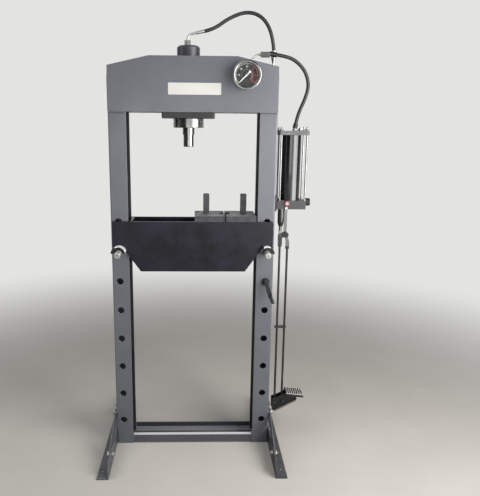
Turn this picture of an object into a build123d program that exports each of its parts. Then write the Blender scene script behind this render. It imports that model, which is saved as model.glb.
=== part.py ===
"""A floor-standing hydraulic workshop press with a foot pump.

Millimetres, X across the press, Y from front (negative) to back, Z up.
The origin is on the floor, in the middle of the four anchor holes.
"""
from build123d import *
import math
import os

# Uprights: two channels, open towards each other
frame_width = 710
upright_flange = 75
upright_depth = 124
upright_wall = 7
upright_corner = 6
upright_bottom = 2
upright_into_beam = 160

# Pin holes through both flanges of each upright
hole_diameter = 30
hole_from_side = 33
first_hole_z = 121
hole_pitch = 134
hole_count = 8
below_bed_hole_count = 6
below_crank_hole_count = 5

# Top beam: two plates welded to the front and back of the uprights
plate_thickness = 10
beam_end_inset = 3
beam_bottom = 1521
beam_end_height = 184
beam_height = 223
beam_slope_run = 170
rail_height = 12
rail_depth = 10
rail_above_edge = 27

# Floor cross members and feet
angle_wall = 5
front_member_top = 43
front_member_height = 35
front_member_depth = 20
back_member_top = 40
back_member_height = 28
back_member_depth = 40
foot_length = 680
foot_height = 75
foot_width = 50
foot_wall = 5
foot_chamfer_rise = 38
foot_chamfer_run = 30
anchor_from_upright = 33
anchor_spacing_y = 560
anchor_diameter = 14

# Diagonal braces between feet and uprights
brace_width = 32
brace_wall = 5
brace_foot_y = 237
brace_foot_z = 57
brace_top_y = 44
brace_top_z = 148
frame_bolt_diameter = 12
frame_bolt_hex = 19
frame_bolt_head = 8
frame_bolt_tail = 4
foot_bolt_y = 20
foot_bolt_z = 40

# Clearances
seat_gap = 0.3
slide_gap = 0.5
running_gap = 0.05
screw_gap = 0.5

# Pressing head: cylinder, carriage plate and ram
head_x = -20
carriage_width = 222
carriage_thickness = 24
carriage_depth = 136
cylinder_diameter = 96
cylinder_bore = 76
cylinder_above_beam = 46
cylinder_cap_thickness = 22
cylinder_cap_chamfer = 7
hanger_flange_diameter = 118
hanger_flange_height = 12
collar_diameter = 130
collar_height = 39
collar_floor = 13
collar_chamfer = 2
collar_slot_count = 8
collar_slot_turn = 5
collar_slot_width = 7
collar_slot_depth = 4
ram_diameter = 51
ram_shown = 29
piston_height = 35
piston_head_room = 20
seal_height = 8
seal_depth = 5
nose_diameter = 44
nose_length = 51
nose_spigot_diameter = 20
nose_spigot_length = 20
nose_chamfer = 2

# Bed: two plates that hang on the pins by half-round saddles
bed_above_hole = 136
bed_below_hole = 85
bed_bottom_inset = 94
bed_end_inset = 6
spacer_thickness = 12
spacer_gap = 3
spacer_height = 125
spacer_below_top = 1
saddle_radius = 33
saddle_wall = 6
saddle_reach = 25
saddle_recess = 8

# Pins
pin_diameter = 28
pin_front_reach = 62
pin_back_reach = 13
pin_chamfer = 3
pin_groove_width = 6
pin_groove_depth = 2
pin_groove_from_end = 30

# Arbor plates, standing on the bed
arbor_from_upright = 140
arbor_gap = 5
arbor_width = 131
arbor_thickness = 25
arbor_overhang = 19
arbor_notch_diameter = 50
arbor_chamfer = 1.5
arbor_grip_x = 82
arbor_grip_width = 27
arbor_grip_depth = 12
arbor_grip_height = 89
arbor_grip_chamfer = 3

# Pressure gauge
gauge_from_side = 138
gauge_above_edge = 147
gauge_standoff = 5
gauge_case_diameter = 108
gauge_case_depth = 35
gauge_wall = 4
gauge_cavity_depth = 14
gauge_dial_thickness = 1.5
gauge_glass_thickness = 3
bezel_wall = 4
bezel_cover = 5
bezel_lip = 6
bezel_skirt = 15
bezel_round = 2.5
gauge_stem_diameter = 20
gauge_stem_clearance = 1
needle_length = 44
needle_tail = 17
needle_bulb_diameter = 9
needle_root_width = 5
needle_tip_width = 1.2
needle_thickness = 1.2
needle_hub_diameter = 8
needle_above_dial = 5
needle_rest_angle = 225

# Pressure manifold and pipe work behind the beam's front plate
manifold_from_side = 10
manifold_length = 140
manifold_below_gauge = 13
manifold_above_gauge = 32
manifold_back = 14
manifold_chamfer = 2
pipe_diameter = 8
pipe_y = -22
pipe_rise = 39
pipe_slope_rise = 18
pipe_slope_run = 23
pipe_level_run = 14
pipe_bend = 12

# Hoses and their fittings
hose_diameter = 15
sleeve_diameter = 20
fitting_diameter = 22
fitting_from_side = 37
fitting_length = 38
fitting_sleeve_length = 30
nipple_from_side = 18
nipple_stem_height = 22
nipple_cone_height = 23
nipple_collar_height = 13
nipple_sleeve_length = 22
elbow_offset = 4
elbow_pipe_diameter = 9
elbow_nut_diameter = 22
elbow_nut_height = 23
elbow_bend = 24
elbow_sleeve_diameter = 13
elbow_sleeve_length = 38
outlet_from_reservoir = 16
outlet_nut_height = 9
outlet_sleeve_length = 20
filler_from_reservoir = 37
filler_diameter = 18
filler_height = 12
filler_y = -18

# Foot pump: bracket, block, reservoir
bracket_thickness = 8
bracket_depth = 96
bracket_below_block = 10
bracket_above_block = 22
bracket_bolt_above_block = 11
bracket_bolt_y = 34
block_bottom = 1114
block_height = 36
block_width = 127
block_depth = 100
block_round = 2
reservoir_from_side = 70
reservoir_diameter = 86
reservoir_wall = 4
reservoir_length = 281
top_plate_from_side = 11
top_plate_width = 128
top_plate_thickness = 18
tie_rod_diameter = 8
tie_rod_inset_x = 10
tie_rod_inset_y = 10
tie_rod_above = 16
tie_nut_hex = 13
tie_nut_height = 7
cap_from_side = 52
cap_below_top = 10
cap_diameter = 21
cap_height = 8
plug_offset = 2
plug_drop = 20.5
plug_diameter = 9
plug_height = 5

# Release valve at the right end of the pump block
release_spindle_diameter = 8
release_spindle_depth = 30
release_neck = 8
release_below_top = 9
release_knob_diameter = 34
release_knob_length = 17
release_lobes = 6
release_lobe_cut = 5

# Foot pump linkage: barrel, plunger, rocker, hanger
plunger_from_side = 35
plunger_diameter = 14
plunger_head_room = 29
barrel_diameter = 28
barrel_length = 82
barrel_tip_diameter = 19
barrel_taper = 18
barrel_bore_end = 10
stroke = 14
eye_thickness = 8
eye_radius = 8
eye_above_rocker = 18
crosshead_pin_diameter = 8
rocker_below_block = 120
rocker_from_plunger = 23
rocker_hub_radius = 12
rocker_tip_radius = 9
rocker_plate = 3
rocker_bolt_diameter = 10
rocker_bolt_head_diameter = 25
rocker_bolt_head = 10
hanger_bar_from_rocker = 8
hanger_bar_width = 13
hanger_boss_radius = 11
hanger_foot_drop = 32
hanger_foot_height = 22
hanger_foot_half = 8

# Push rod and stay rod between pump and pedal
rod_diameter = 10
stay_from_plunger = 34
fork_limb = 4
fork_half_width = 8
fork_bridge_drop = 28
fork_bridge_height = 16
rod_nut_hex = 15
rod_nut_height = 12
clip_z = 557
clip_height = 8
clip_half_depth = 9
clip_before_plunger = 12
clip_beyond_stay = 7

# Pedal, set out from the pivot on the stay rod
pedal_pivot_z = 190
pedal_pivot_diameter = 10
push_eye_radius = 9
push_eye_thickness = 12
cheek_wall = 4
cheek_half_gap = 16
cheek_end_run = 48
cheek_end_rise = 10
cheek_end_drop = 44
cheek_low_run = 35
cheek_low_drop = 49
cheek_right_run = 68
cheek_right_rise = 6
cheek_knee_run = 12
cheek_knee_rise = 24
lip_half_width = 30
tread_run = 16
tread_rise = 46
tread_width = 82
tread_depth = 70
tread_thickness = 4
tread_lip = 12
tread_tilt = 6
tread_rib_count = 8
tread_rib_height = 5
tread_rib_width = 3.5

# Crank in the right upright
crank_axle_diameter = 20
crank_drum_diameter = 36
crank_flange_diameter = 46
crank_drum_width = 50
crank_flange_wall = 4
crank_front_reach = 46
crank_back_reach = 6
crank_arm_length = 60
crank_arm_width = 18
crank_arm_wall = 8
crank_arm_angle = -72
crank_pin_diameter = 8
crank_handle_diameter = 16
crank_handle_length = 78
crank_handle_round = 5
bush_collar = 3
bush_collar_diameter = 36

# Places of the frame and the bed
half_width = frame_width / 2
half_depth = upright_depth / 2
clear_half = half_width - upright_flange
upright_top = beam_bottom + upright_into_beam
hole_x = half_width - hole_from_side
hole_heights = [first_hole_z + hole_pitch * i for i in range(hole_count)]
beam_half = half_width - beam_end_inset
beam_shoulder = beam_bottom + beam_end_height
beam_top = beam_bottom + beam_height
beam_top_half = beam_half - beam_slope_run
plate_y = half_depth + plate_thickness
rail_bottom = beam_bottom + rail_above_edge
rail_top = rail_bottom + rail_height
pin_drop = (hole_diameter - pin_diameter) / 2 - seat_gap
pin_z = hole_heights[below_bed_hole_count] - pin_drop
crank_z = hole_heights[below_crank_hole_count]
bed_top = hole_heights[below_bed_hole_count] + bed_above_hole
bed_bottom = hole_heights[below_bed_hole_count] - bed_below_hole
bed_half = half_width - bed_end_inset
bed_bottom_half = hole_x - bed_bottom_inset
bed_inner_y = half_depth + slide_gap
bed_outer_y = bed_inner_y + plate_thickness
arbor_gap_x = clear_half - arbor_from_upright

# Places of the pressing head
carriage_top = beam_bottom - seat_gap
carriage_bottom = carriage_top - carriage_thickness
collar_bottom = carriage_bottom - collar_height
cylinder_bottom = collar_bottom + collar_floor
cylinder_top = beam_top + cylinder_above_beam
bore_top = cylinder_top - cylinder_cap_thickness
piston_top = bore_top - piston_head_room
piston_bottom = piston_top - piston_height
ram_bottom = collar_bottom - ram_shown
elbow_x = head_x - elbow_offset

# Places of the gauge, the manifold and the pipe work
gauge_x = half_width - gauge_from_side
gauge_z = beam_bottom + gauge_above_edge
gauge_back = plate_y + gauge_standoff
gauge_front = gauge_back + gauge_case_depth
bezel_diameter = gauge_case_diameter + 2 * bezel_wall
bezel_opening = gauge_case_diameter - 2 * bezel_cover
manifold_right = half_width - manifold_from_side
manifold_left = manifold_right - manifold_length
manifold_bottom = gauge_z - manifold_below_gauge
manifold_top = gauge_z + manifold_above_gauge
fitting_end_x = half_width - fitting_from_side
pipe_end_x = fitting_end_x - fitting_length
pipe_level_x = pipe_end_x - pipe_level_run
pipe_rise_x = pipe_level_x - pipe_slope_run
pipe_shoulder_z = manifold_top + pipe_rise
hose_level_z = pipe_shoulder_z + pipe_slope_rise
nipple_x = half_width - nipple_from_side
nipple_cone_bottom = manifold_top + nipple_stem_height
nipple_cone_top = nipple_cone_bottom + nipple_cone_height
nipple_collar_top = nipple_cone_top + nipple_collar_height

# Places of the foot pump
block_left = half_width + bracket_thickness
block_right = block_left + block_width
block_top = block_bottom + block_height
reservoir_x = half_width + reservoir_from_side
reservoir_top = block_top + reservoir_length
top_plate_left = half_width + top_plate_from_side
top_plate_top = reservoir_top + top_plate_thickness
outlet_x = reservoir_x + outlet_from_reservoir
filler_x = reservoir_x + filler_from_reservoir
cap_x = half_width + cap_from_side
cap_z = block_top - cap_below_top
release_z = block_top - release_below_top
plunger_x = half_width + plunger_from_side
barrel_bottom = block_bottom - barrel_length
barrel_bore_top = block_bottom - barrel_bore_end
plunger_top = barrel_bore_top - plunger_head_room
rocker_x = plunger_x + rocker_from_plunger
rocker_z = block_bottom - rocker_below_block
eye_top = rocker_z + eye_above_rocker
crosshead_z = rocker_z - stroke / 2
hanger_bar_left = rocker_x - hanger_bar_from_rocker
hanger_foot_top = rocker_z - hanger_foot_drop
hanger_foot_bottom = hanger_foot_top - hanger_foot_height
fork_bridge_top = rocker_z - fork_bridge_drop
fork_bridge_bottom = fork_bridge_top - fork_bridge_height
stay_x = plunger_x + stay_from_plunger
push_eye_z = pedal_pivot_z - stroke / 2
clip_left = plunger_x - clip_before_plunger
clip_right = stay_x + clip_beyond_stay
tread_left = stay_x + tread_run
tread_left_z = pedal_pivot_z + tread_rise


def write(piece, name):
    """Label one finished piece and write it to its own file."""
    piece.part.label = name
    export_step(piece.part, f"parts/{name}.step")


def sided(name):
    """Name and X direction of the left and the right copy of a piece."""
    return ((f"left_{name}", -1), (f"right_{name}", 1))


def bend_radii(points, share=0.45):
    """Largest arcs that the runs of a hose's route leave room for."""
    radii = []
    for before, corner, after in zip(points, points[1:], points[2:]):
        run_in = Vector(*corner) - Vector(*before)
        run_out = Vector(*after) - Vector(*corner)
        half_turn = math.radians(run_in.get_angle(run_out)) / 2
        radii.append(share * min(run_in.length, run_out.length) / math.tan(half_turn))
    return radii


def route_plane(points):
    """Plane across the start of a route, looking along its first run."""
    return Plane(origin=points[0], z_dir=Vector(*points[1]) - Vector(*points[0]))


def end_plane(points):
    """Plane across the end of a route, looking back along its last run."""
    return route_plane(points[::-1])


def front_plane(y):
    """Plane that faces the front at a given depth; its normal points to -Y."""
    return Plane.XZ.offset(-y)


def turned_plane(origin, angle):
    """Plane that faces the front, with its own X turned up by an angle."""
    turn = math.radians(angle)
    return Plane(origin=origin, x_dir=(math.cos(turn), 0, math.sin(turn)), z_dir=(0, -1, 0))


os.makedirs("parts", exist_ok=True)

# Uprights
for name, side in sided("upright"):
    outer = -1 if side > 0 else 0
    with BuildPart() as upright:
        with BuildSketch(Plane.XY.offset(upright_bottom)) as channel:
            with Locations((side * (half_width - upright_flange / 2), 0)):
                Rectangle(upright_flange, upright_depth)
            fillet(channel.vertices().group_by(Axis.X)[outer], upright_corner)
            with Locations((side * (half_width - upright_wall - upright_flange / 2), 0)):
                Rectangle(upright_flange, upright_depth - 2 * upright_wall, mode=Mode.SUBTRACT)
        extrude(amount=upright_top - upright_bottom)
        with BuildSketch(front_plane(-half_depth)):
            with Locations(*[(side * hole_x, z) for z in hole_heights]):
                Circle(hole_diameter / 2)
        extrude(amount=-upright_depth, mode=Mode.SUBTRACT)
        with BuildSketch(Plane.YZ.offset(side * half_width)):
            with Locations(*[(y, brace_top_z) for y in (-brace_top_y, brace_top_y)]):
                Circle(frame_bolt_diameter / 2 + screw_gap)
            with Locations(*[(y, foot_bolt_z) for y in (-foot_bolt_y, foot_bolt_y)]):
                Circle(frame_bolt_diameter / 2 + screw_gap)
        extrude(amount=-side * upright_wall, mode=Mode.SUBTRACT)
    write(upright, name)

# Beam plates, each with a rail inside that carries the sliding head
beam_outline = [
    (-beam_half, beam_bottom),
    (beam_half, beam_bottom),
    (beam_half, beam_shoulder),
    (beam_top_half, beam_top),
    (-beam_top_half, beam_top),
    (-beam_half, beam_shoulder),
]
rail_length = 2 * (clear_half - spacer_gap)
for name, face in (("front_beam_plate", -1), ("back_beam_plate", 1)):
    with BuildPart() as beam_plate:
        with BuildSketch(front_plane(face * plate_y)):
            with BuildLine():
                Polyline(*beam_outline, close=True)
            make_face()
            if face < 0:
                with Locations((gauge_x, gauge_z)):
                    Circle(gauge_stem_diameter / 2 + gauge_stem_clearance, mode=Mode.SUBTRACT)
        extrude(amount=face * plate_thickness)
        with BuildSketch(front_plane(face * half_depth)):
            with Locations((0, rail_bottom + rail_height / 2)):
                Rectangle(rail_length, rail_height)
        extrude(amount=face * rail_depth)
    write(beam_plate, name)

# Floor cross members: angles between the uprights
member_length = 2 * clear_half
with BuildPart() as front_member:
    with BuildSketch(Plane.YZ.offset(-clear_half)):
        with BuildLine():
            Polyline(
                (-half_depth, front_member_top),
                (-half_depth, front_member_top - front_member_height),
                (-half_depth + angle_wall, front_member_top - front_member_height),
                (-half_depth + angle_wall, front_member_top - angle_wall),
                (-half_depth + front_member_depth, front_member_top - angle_wall),
                (-half_depth + front_member_depth, front_member_top),
                close=True,
            )
        make_face()
    extrude(amount=member_length)
write(front_member, "front_cross_member")

with BuildPart() as back_member:
    with BuildSketch(Plane.YZ.offset(-clear_half)):
        with BuildLine():
            Polyline(
                (half_depth, back_member_top),
                (half_depth, back_member_top - back_member_height),
                (half_depth - back_member_depth, back_member_top - back_member_height),
                (half_depth - back_member_depth, back_member_top - back_member_height + angle_wall),
                (half_depth - angle_wall, back_member_top - back_member_height + angle_wall),
                (half_depth - angle_wall, back_member_top),
                close=True,
            )
        make_face()
    extrude(amount=member_length)
write(back_member, "back_cross_member")

# Feet: angles along the floor, outside the uprights
half_foot = foot_length / 2
foot_outline = [
    (-half_foot, 0),
    (half_foot, 0),
    (half_foot, foot_height - foot_chamfer_rise),
    (half_foot - foot_chamfer_run, foot_height),
    (foot_chamfer_run - half_foot, foot_height),
    (-half_foot, foot_height - foot_chamfer_rise),
]
for name, side in sided("foot"):
    with BuildPart() as foot:
        with BuildSketch(Plane.YZ.offset(side * half_width)):
            with BuildLine():
                Polyline(*foot_outline, close=True)
            make_face()
            with Locations(*[(y, foot_bolt_z) for y in (-foot_bolt_y, foot_bolt_y)]):
                Circle(frame_bolt_diameter / 2 + screw_gap, mode=Mode.SUBTRACT)
            with Locations(*[(y, brace_foot_z) for y in (-brace_foot_y, brace_foot_y)]):
                Circle(frame_bolt_diameter / 2 + screw_gap, mode=Mode.SUBTRACT)
        extrude(amount=side * foot_wall)
        with BuildSketch(Plane.XY):
            with Locations((side * (half_width + foot_width / 2), 0)):
                Rectangle(foot_width, foot_length)
            with Locations(*[(side * (half_width + anchor_from_upright), y)
                             for y in (-anchor_spacing_y / 2, anchor_spacing_y / 2)]):
                Circle(anchor_diameter / 2, mode=Mode.SUBTRACT)
        extrude(amount=foot_wall)
    write(foot, name)

# Braces: flat bars with round ends, bolted outside the feet
brace_side = half_width + foot_wall
brace_run = brace_foot_y - brace_top_y
brace_rise = brace_top_z - brace_foot_z
brace_length = math.hypot(brace_run, brace_rise)
brace_angle = math.degrees(math.atan2(brace_rise, brace_run))
with BuildPart() as braces:
    for side in (-1, 1):
        for end in (-1, 1):
            middle_y = end * (brace_foot_y + brace_top_y) / 2
            middle_z = (brace_foot_z + brace_top_z) / 2
            with BuildSketch(Plane.YZ.offset(side * brace_side)):
                with Locations(Location((middle_y, middle_z), -end * brace_angle)):
                    SlotCenterToCenter(brace_length, brace_width)
                with Locations((end * brace_foot_y, brace_foot_z), (end * brace_top_y, brace_top_z)):
                    Circle(frame_bolt_diameter / 2 + screw_gap, mode=Mode.SUBTRACT)
            extrude(amount=side * brace_wall)
write(braces, "foot_braces")

# Frame bolts with their nuts, and the spacers behind the tops of the braces
bolt_radius = frame_bolt_diameter / 2
brace_face = brace_side + brace_wall
foot_face = half_width + foot_wall
web_face = half_width - upright_wall
frame_bolts_at = [
    (brace_foot_y, brace_foot_z, brace_face, half_width),
    (brace_top_y, brace_top_z, brace_face, web_face),
    (foot_bolt_y, foot_bolt_z, foot_face, web_face),
]
with BuildPart() as frame_bolts:
    for side in (-1, 1):
        for end in (-1, 1):
            for y, z, outer_face, inner_face in frame_bolts_at:
                bolt_tail = inner_face - frame_bolt_head - frame_bolt_tail
                with BuildSketch(Plane.YZ.offset(side * outer_face)):
                    with Locations((end * y, z)):
                        RegularPolygon(frame_bolt_hex / 2, 6, major_radius=False)
                extrude(amount=side * frame_bolt_head)
                with BuildSketch(Plane.YZ.offset(side * outer_face)):
                    with Locations((end * y, z)):
                        Circle(bolt_radius)
                extrude(amount=-side * (outer_face - bolt_tail))
                with BuildSketch(Plane.YZ.offset(side * inner_face)):
                    with Locations((end * y, z)):
                        RegularPolygon(frame_bolt_hex / 2, 6, major_radius=False)
                extrude(amount=-side * frame_bolt_head)
            with BuildSketch(Plane.YZ.offset(side * half_width)):
                with Locations((end * brace_top_y, brace_top_z)):
                    Circle(frame_bolt_hex / 2)
            extrude(amount=side * foot_wall)
write(frame_bolts, "frame_bolts")

# Head: carriage plate, cylinder, threaded collar
with BuildPart() as carriage:
    with BuildSketch(Plane.XY.offset(carriage_bottom)) as carriage_outline:
        with Locations((head_x, 0)):
            Rectangle(carriage_width, carriage_depth)
        fillet(carriage_outline.vertices(), upright_corner)
        with Locations((head_x, 0)):
            Circle(cylinder_diameter / 2 + running_gap, mode=Mode.SUBTRACT)
    extrude(amount=carriage_thickness)
write(carriage, "head_carriage_plate")

head_axis = Plane(origin=(head_x, 0, 0), x_dir=(1, 0, 0), z_dir=(0, -1, 0))
head_line = Axis((head_x, 0, 0), (0, 0, 1))
flange_bottom = rail_top + seat_gap
with BuildPart() as cylinder:
    with BuildSketch(head_axis):
        with BuildLine():
            Polyline(
                (cylinder_bore / 2, cylinder_bottom),
                (cylinder_diameter / 2, cylinder_bottom),
                (cylinder_diameter / 2, flange_bottom),
                (hanger_flange_diameter / 2, flange_bottom),
                (hanger_flange_diameter / 2, flange_bottom + hanger_flange_height),
                (cylinder_diameter / 2, flange_bottom + hanger_flange_height),
                (cylinder_diameter / 2, cylinder_top - cylinder_cap_chamfer),
                (cylinder_diameter / 2 - cylinder_cap_chamfer, cylinder_top),
                (0, cylinder_top),
                (0, bore_top),
                (cylinder_bore / 2, bore_top),
                close=True,
            )
        make_face()
    revolve(axis=head_line)
write(cylinder, "cylinder_body")

with BuildPart() as collar:
    with BuildSketch(head_axis):
        with BuildLine():
            Polyline(
                (ram_diameter / 2 + running_gap, collar_bottom),
                (collar_diameter / 2 - collar_chamfer, collar_bottom),
                (collar_diameter / 2, collar_bottom + collar_chamfer),
                (collar_diameter / 2, carriage_bottom - collar_chamfer),
                (collar_diameter / 2 - collar_chamfer, carriage_bottom),
                (cylinder_diameter / 2 + running_gap, carriage_bottom),
                (cylinder_diameter / 2 + running_gap, cylinder_bottom),
                (ram_diameter / 2 + running_gap, cylinder_bottom),
                close=True,
            )
        make_face()
    revolve(axis=head_line)
    with BuildSketch(Plane.XY.offset(collar_bottom)):
        with Locations((head_x, 0)):
            with PolarLocations(collar_diameter / 2, collar_slot_count, start_angle=collar_slot_turn - 90):
                Rectangle(2 * collar_slot_depth, collar_slot_width)
    extrude(amount=collar_height, mode=Mode.SUBTRACT)
write(collar, "cylinder_collar")

# Ram with its piston head, seal and screwed nose
piston_radius = cylinder_bore / 2 - running_gap
groove_bottom = (piston_bottom + piston_top - seal_height) / 2
spigot_radius = nose_spigot_diameter / 2 + running_gap
with BuildPart() as ram:
    with BuildSketch(head_axis):
        with BuildLine():
            Polyline(
                (spigot_radius, ram_bottom),
                (ram_diameter / 2, ram_bottom),
                (ram_diameter / 2, piston_bottom),
                (piston_radius, piston_bottom),
                (piston_radius, groove_bottom),
                (piston_radius - seal_depth, groove_bottom),
                (piston_radius - seal_depth, groove_bottom + seal_height),
                (piston_radius, groove_bottom + seal_height),
                (piston_radius, piston_top),
                (0, piston_top),
                (0, ram_bottom + nose_spigot_length + seat_gap),
                (spigot_radius, ram_bottom + nose_spigot_length + seat_gap),
                close=True,
            )
        make_face()
    revolve(axis=head_line)
write(ram, "ram")

with BuildPart() as seal:
    with BuildSketch(head_axis):
        with Locations((piston_radius - seal_depth / 2, groove_bottom + seal_height / 2)):
            Rectangle(seal_depth, seal_height)
    revolve(axis=head_line)
write(seal, "piston_seal")

with BuildPart() as nose:
    with BuildSketch(Plane.XY.offset(ram_bottom)):
        with Locations((head_x, 0)):
            Circle(nose_diameter / 2)
    extrude(amount=-nose_length)
    chamfer(nose.edges().group_by(Axis.Z)[0], nose_chamfer)
    with BuildSketch(Plane.XY.offset(ram_bottom)):
        with Locations((head_x, 0)):
            Circle(nose_spigot_diameter / 2)
    extrude(amount=nose_spigot_length)
write(nose, "ram_nose")

# Bed plates with the notches that take the saddles
bed_outline = [
    (-bed_bottom_half, bed_bottom),
    (bed_bottom_half, bed_bottom),
    (hole_x - saddle_radius, pin_z),
    (bed_half, pin_z),
    (bed_half, bed_top),
    (-bed_half, bed_top),
    (-bed_half, pin_z),
    (saddle_radius - hole_x, pin_z),
]
for name, face in (("front_bed_plate", -1), ("back_bed_plate", 1)):
    with BuildPart() as bed_plate:
        with BuildSketch(front_plane(face * bed_outer_y)):
            with BuildLine():
                Polyline(*bed_outline, close=True)
            make_face()
            with Locations((-hole_x, pin_z), (hole_x, pin_z)):
                Circle(saddle_radius, mode=Mode.SUBTRACT)
        extrude(amount=face * plate_thickness)
    write(bed_plate, name)

# Saddles: half bushes on the pins inside longer half tubes
saddle_length = plate_thickness + saddle_reach
with BuildPart() as saddles:
    for face in (-1, 1):
        for inner_radius, length in (
            (pin_diameter / 2 + seat_gap, saddle_length - saddle_recess),
            (saddle_radius - saddle_wall, saddle_length),
        ):
            with BuildSketch(front_plane(face * bed_inner_y)):
                for side in (-1, 1):
                    with Locations((side * hole_x, pin_z)):
                        Circle(saddle_radius)
                        Circle(inner_radius, mode=Mode.SUBTRACT)
                    with Locations((side * hole_x, pin_z - saddle_radius)):
                        Rectangle(2 * saddle_radius, 2 * saddle_radius, mode=Mode.SUBTRACT)
            extrude(amount=-face * length)
write(saddles, "pin_saddles")

with BuildPart() as spacers:
    for side in (-1, 1):
        with BuildSketch(Plane.XY.offset(bed_top - spacer_below_top)):
            with Locations((side * (clear_half - spacer_gap - spacer_thickness / 2), 0)):
                Rectangle(spacer_thickness, 2 * bed_inner_y)
        extrude(amount=-spacer_height)
write(spacers, "bed_spacers")

# Pins through uprights and saddles
pin_front = bed_outer_y + pin_front_reach
pin_back = bed_outer_y + saddle_reach + pin_back_reach
for name, side in sided("pin"):
    with BuildPart() as pin:
        with BuildSketch(front_plane(-pin_front)):
            with Locations((side * hole_x, pin_z)):
                Circle(pin_diameter / 2)
        extrude(amount=-(pin_front + pin_back))
        chamfer(pin.edges().filter_by(GeomType.CIRCLE), pin_chamfer)
        with BuildSketch(front_plane(-pin_front + pin_groove_from_end)):
            with Locations((side * hole_x, pin_z)):
                Circle(pin_diameter / 2)
                Circle(pin_diameter / 2 - pin_groove_depth, mode=Mode.SUBTRACT)
        extrude(amount=-pin_groove_width, mode=Mode.SUBTRACT)
    write(pin, name)

# Arbor plates with facing half-round notches, and their upright grips
arbor_depth = 2 * bed_outer_y + arbor_overhang
arbor_y = arbor_overhang / 2
arbor_top = bed_top + arbor_thickness
for name, side in sided("arbor_plate"):
    with BuildPart() as arbor:
        with BuildSketch(Plane.XY.offset(bed_top)) as arbor_outline:
            with Locations((arbor_gap_x + side * (arbor_gap + arbor_width) / 2, arbor_y)):
                Rectangle(arbor_width, arbor_depth)
            with Locations((arbor_gap_x, arbor_y)):
                Circle(arbor_notch_diameter / 2, mode=Mode.SUBTRACT)
        extrude(amount=arbor_thickness)
        chamfer(arbor.edges().filter_by(Axis.X).group_by(Axis.Z)[-1], arbor_chamfer)
    write(arbor, name)

with BuildPart() as grips:
    for side in (-1, 1):
        with BuildSketch(front_plane(arbor_y - arbor_grip_depth / 2)) as grip_face:
            with Locations((arbor_gap_x + side * arbor_grip_x, arbor_top + arbor_grip_height / 2)):
                Rectangle(arbor_grip_width, arbor_grip_height)
            chamfer(grip_face.vertices().group_by(Axis.Z)[-1], arbor_grip_chamfer)
        extrude(amount=-arbor_grip_depth)
write(grips, "arbor_plate_grips")

# Gauge: case with its stem, dial, needle, glass and bezel
gauge_centre = (gauge_x, gauge_z)
with BuildPart() as gauge_case:
    with BuildSketch(front_plane(-gauge_back)):
        with Locations(gauge_centre):
            Circle(gauge_case_diameter / 2)
    extrude(amount=gauge_case_depth)
    with BuildSketch(front_plane(-gauge_front)):
        with Locations(gauge_centre):
            Circle(gauge_case_diameter / 2 - gauge_wall)
    extrude(amount=-gauge_cavity_depth, mode=Mode.SUBTRACT)
    with BuildSketch(front_plane(-gauge_back)):
        with Locations(gauge_centre):
            Circle(gauge_stem_diameter / 2)
    extrude(amount=-(gauge_back - half_depth + upright_wall + seat_gap))
write(gauge_case, "gauge_case")

dial_face = gauge_front - gauge_cavity_depth + gauge_dial_thickness
with BuildPart() as dial:
    with BuildSketch(front_plane(-dial_face)):
        with Locations(gauge_centre):
            Circle(gauge_case_diameter / 2 - gauge_wall - seat_gap)
    extrude(amount=-gauge_dial_thickness)
write(dial, "gauge_dial")

needle_frame = turned_plane((gauge_x, -(dial_face + needle_above_dial), gauge_z), needle_rest_angle)
with BuildPart() as needle:
    with BuildSketch(needle_frame):
        with BuildLine():
            Polyline(
                (-needle_tail, -needle_root_width / 3),
                (0, -needle_root_width / 2),
                (needle_length, -needle_tip_width / 2),
                (needle_length, needle_tip_width / 2),
                (0, needle_root_width / 2),
                (-needle_tail, needle_root_width / 3),
                close=True,
            )
        make_face()
        with Locations((-needle_tail, 0)):
            Circle(needle_bulb_diameter / 2)
    extrude(amount=needle_thickness)
    with BuildSketch(needle_frame):
        Circle(needle_hub_diameter / 2)
    extrude(amount=2 * needle_thickness)
    with BuildSketch(needle_frame):
        Circle(needle_hub_diameter / 4)
    extrude(amount=-(needle_above_dial - seat_gap))
write(needle, "gauge_needle")

with BuildPart() as glass:
    with BuildSketch(front_plane(-gauge_front)):
        with Locations(gauge_centre):
            Circle(gauge_case_diameter / 2 - seat_gap)
    extrude(amount=gauge_glass_thickness)
write(glass, "gauge_glass")

lip_back = gauge_front + gauge_glass_thickness
with BuildPart() as bezel:
    with BuildSketch(front_plane(-(lip_back - bezel_skirt))):
        with Locations(gauge_centre):
            Circle(bezel_diameter / 2)
            Circle(gauge_case_diameter / 2 + running_gap, mode=Mode.SUBTRACT)
    extrude(amount=bezel_skirt)
    with BuildSketch(front_plane(-lip_back)):
        with Locations(gauge_centre):
            Circle(bezel_diameter / 2)
            Circle(bezel_opening / 2, mode=Mode.SUBTRACT)
    extrude(amount=bezel_lip)
    fillet(bezel.edges().group_by(Axis.Y)[0], bezel_round)
write(bezel, "gauge_bezel")

# Pressure manifold inside the right end of the beam
manifold_front = -half_depth + upright_wall + seat_gap
with BuildPart() as manifold:
    with BuildSketch(Plane.XY.offset(manifold_bottom)):
        with Locations(((manifold_left + manifold_right) / 2, (manifold_front + manifold_back) / 2)):
            Rectangle(manifold_right - manifold_left, manifold_back - manifold_front)
    extrude(amount=manifold_top - manifold_bottom)
    chamfer(manifold.edges().filter_by(Axis.Z), manifold_chamfer)
write(manifold, "pressure_manifold")

# Gauge pipe from the manifold up to the pump hose
pipe_route = [
    (pipe_rise_x, pipe_y, manifold_top),
    (pipe_rise_x, pipe_y, pipe_shoulder_z),
    (pipe_level_x, pipe_y, hose_level_z),
    (pipe_end_x, pipe_y, hose_level_z),
]
with BuildPart() as gauge_pipe:
    with BuildLine():
        FilletPolyline(*pipe_route, radius=pipe_bend)
    with BuildSketch(route_plane(pipe_route)):
        Circle(pipe_diameter / 2)
    sweep()
write(gauge_pipe, "gauge_pipe")

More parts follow.
